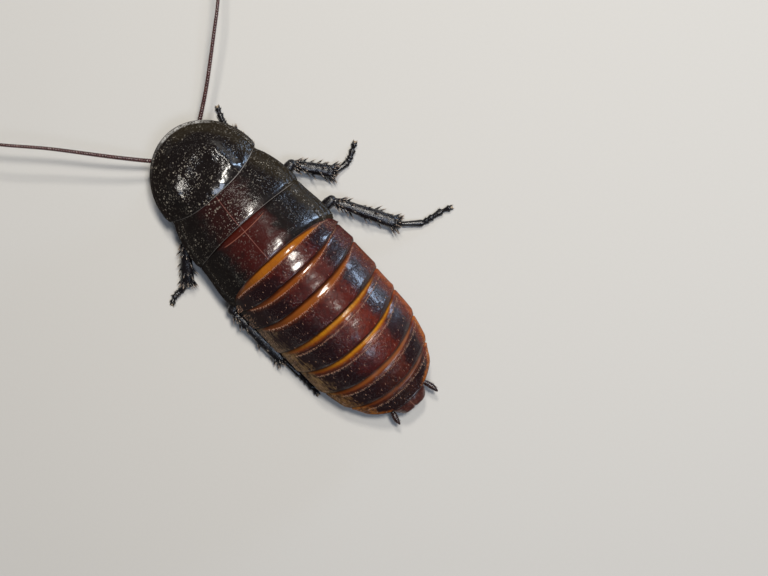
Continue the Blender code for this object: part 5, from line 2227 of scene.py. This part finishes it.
@dataclass
class Belly:
    """The plates of the underside."""

    finish: bpy.types.Material
    front: Edge = (13.2, 0.4, 2.0)
    thorax_inset: float = 3.8
    inset: float = 0.85

    def build(self) -> None:
        """Builds the plates, each starting where the one ahead of it ends."""
        ahead = self.front
        for name, edge in BELLY_EDGES.items():
            inset = self.thorax_inset if name.startswith("me") else self.inset
            BellyPlate(name, ahead, edge, inset, self.finish).build()
            ahead = edge


ANTENNA_ROUTES: dict[Side, tuple[Point, ...]] = {
    Side.LEFT: (
        (1.75, 3.3, 4.5), (3.7, 2.1, 4.3), (5.3, 0.7, 4.6), (9.5, -3.9, 6.0),
        (15.8, -11.2, 7.4), (21.3, -17.0, 8.0), (25.6, -22.1, 7.6), (28.9, -27.2, 6.6),
    ),
    Side.RIGHT: (
        (-1.75, 3.3, 4.5), (-3.8, 2.2, 4.3), (-5.6, 1.1, 4.6), (-10.1, -1.8, 6.0),
        (-16.4, -6.6, 7.4), (-20.7, -10.1, 8.0), (-25.2, -14.8, 7.8), (-28.8, -19.7, 7.0),
    ),
}


@dataclass(frozen=True)
class Studio:
    """A pale floor, soft lights and the camera."""

    camera_place: Point = (-23.84, 26.0, 195.36)
    camera_turn: Point = (-2.64, 3.37, 138.12)
    focal_length: float = 55.0
    sensor_width: float = 36.0
    floor_reach: float = 2.5
    paper: Colour = (0.52, 0.51, 0.49)
    paper_shade: Colour = (0.45, 0.44, 0.42)
    air: Colour = (0.85, 0.88, 0.92)
    air_strength: float = 0.07

    def floor(self) -> None:
        """The floor, which isn't part of the object."""
        paper = Surface("paper_floor")
        grain = paper.grain(0.5, 3.0)
        tone = paper.blend((grain - 0.5).step(-0.3, 0.3) * 0.1, self.paper, self.paper_shade)
        finish = paper.shade(Base_Color=tone, Roughness=0.85)
        mesh = bpy.data.meshes.new("floor")
        far = self.floor_reach
        corners = [(-far, -far, 0), (far, -far, 0), (far, far, 0), (-far, far, 0)]
        mesh.from_pydata(corners, [], [(0, 1, 2, 3)])
        mesh.materials.append(finish)
        made = bpy.data.objects.new("floor", mesh)
        bpy.context.scene.collection.objects.link(made)

    def lamp(
        self, name: str, towards: Point, far: float, size: tuple[float, float], watts: float, colour: Colour
    ) -> None:
        """A soft light that faces the animal.

        Args:
            name: The light's name.
            towards: Where it stands, as seen from the animal.
            far: How far off it is, in metres.
            size: Its width and height, in metres.
            watts: Its power.
            colour: Its colour.
        """
        data = bpy.data.lights.new(name, "AREA")
        data.shape, data.energy, data.color = "RECTANGLE", watts, colour
        data.size, data.size_y = size
        made = bpy.data.objects.new(name, data)
        made.location = Vector(towards).normalized() * far
        made.rotation_euler = Vector(towards).to_track_quat("Z", "Y").to_euler()
        made.visible_camera = False
        bpy.context.scene.collection.objects.link(made)

    def lights(self) -> None:
        """Two warm lamps over the animal's right side, a cool window low beside it, and a soft cool fill."""
        self.lamp("warm_lamp", (-0.35, 0.02, 0.94), 0.45, (0.07, 0.07), 1.5, (1.0, 0.955, 0.88))
        self.lamp("second_warm_lamp", (-0.4, -0.36, 0.85), 0.5, (0.07, 0.07), 1.0, (1.0, 0.95, 0.87))
        self.lamp("window", (-0.98, 0.03, 0.16), 0.42, (0.1, 0.045), 0.5, (0.55, 0.73, 1.0))
        self.lamp("ceiling", (-0.1, 0.4, 0.9), 0.55, (0.14, 0.14), 0.65, (0.7, 0.8, 1.0))
        world = bpy.data.worlds.new("studio")
        bpy.context.scene.world = world
        world.use_nodes = True
        back = world.node_tree.nodes["Background"]
        back.inputs["Color"].default_value = (*self.air, 1.0)
        back.inputs["Strength"].default_value = self.air_strength

    def camera(self) -> None:
        """The camera at the photograph's angle."""
        data = bpy.data.cameras.new("camera")
        data.lens, data.sensor_width = self.focal_length, self.sensor_width
        data.clip_start, data.clip_end = 0.01, 10.0
        made = bpy.data.objects.new("camera", data)
        made.location = Vector(self.camera_place) * MM
        made.rotation_euler = Euler([math.radians(a) for a in self.camera_turn], "XYZ")
        bpy.context.scene.collection.objects.link(made)
        bpy.context.scene.camera = made

    def build(self) -> None:
        """Sets up the studio."""
        self.floor()
        self.lights()
        self.camera()
        bpy.context.scene.view_settings.view_transform = "Standard"


def main() -> None:
    """Builds the animal and the studio."""
    logging.basicConfig(level=logging.INFO, format="%(name)s %(message)s")
    belly = ChitinFinish("belly_chitin", (0.05, 0.014, 0.008), (0.11, 0.034, 0.014), cloud=2.5).make()
    coxa = ChitinFinish("coxa_chitin", (0.016, 0.008, 0.007), (0.045, 0.018, 0.01)).make()
    leg = ChitinFinish(
        "leg_skin", (0.0035, 0.003, 0.004), (0.008, 0.006, 0.007), (0.4, 0.31, 0.24),
        coat=0.15, dust=0.3, relief=0.05,
    ).make()
    pad = ChitinFinish("foot_pad", (0.3, 0.24, 0.17), (0.22, 0.16, 0.1), roughness=0.6, coat=0.0).make()
    horn = ChitinFinish(
        "antenna_skin", (0.045, 0.013, 0.012), (0.08, 0.024, 0.02), relief=0.02, cloud=0.6
    ).make()
    mouth = ChitinFinish("mouth_chitin", (0.09, 0.03, 0.014), (0.05, 0.016, 0.009)).make()
    skull = ChitinFinish("head_skin", (0.008, 0.006, 0.006), (0.02, 0.009, 0.007), relief=0.04).make()
    tail = ChitinFinish(
        "tail_chitin", (0.042, 0.011, 0.009), (0.07, 0.022, 0.015), (0.34, 0.17, 0.12), cloud=0.8
    ).make()
    cercus = ChitinFinish(
        "cercus_chitin", (0.016, 0.006, 0.006), (0.035, 0.012, 0.009), cloud=0.8, coat=0.2
    ).make()
    bristle = ChitinFinish(
        "bristle", (0.4, 0.22, 0.15), (0.5, 0.3, 0.2), (0.5, 0.36, 0.26), coat=0.0
    ).make()

    polish = Polish(1.0, 2.4, -0.4, -6.4)
    shield = Shield(ShieldFinish("pronotum_skin", dust=0.62, rear_line=0.9, rim_wear=1.0, polish=polish))
    shield.build()
    Throat(belly, shield).build()
    Back(bristle).build()
    Belly(belly).build()
    Tail(tail, cercus).build()
    Head(skull, mouth, EyeFinish().make(), pad).build()
    for side, route in ANTENNA_ROUTES.items():
        Antenna(side, route, horn).build()
    for name, places in LEG_PLACES.items():
        Leg(name, places, coxa, leg, pad).build()
    Studio().build()


if __name__ == "__main__":
    main()
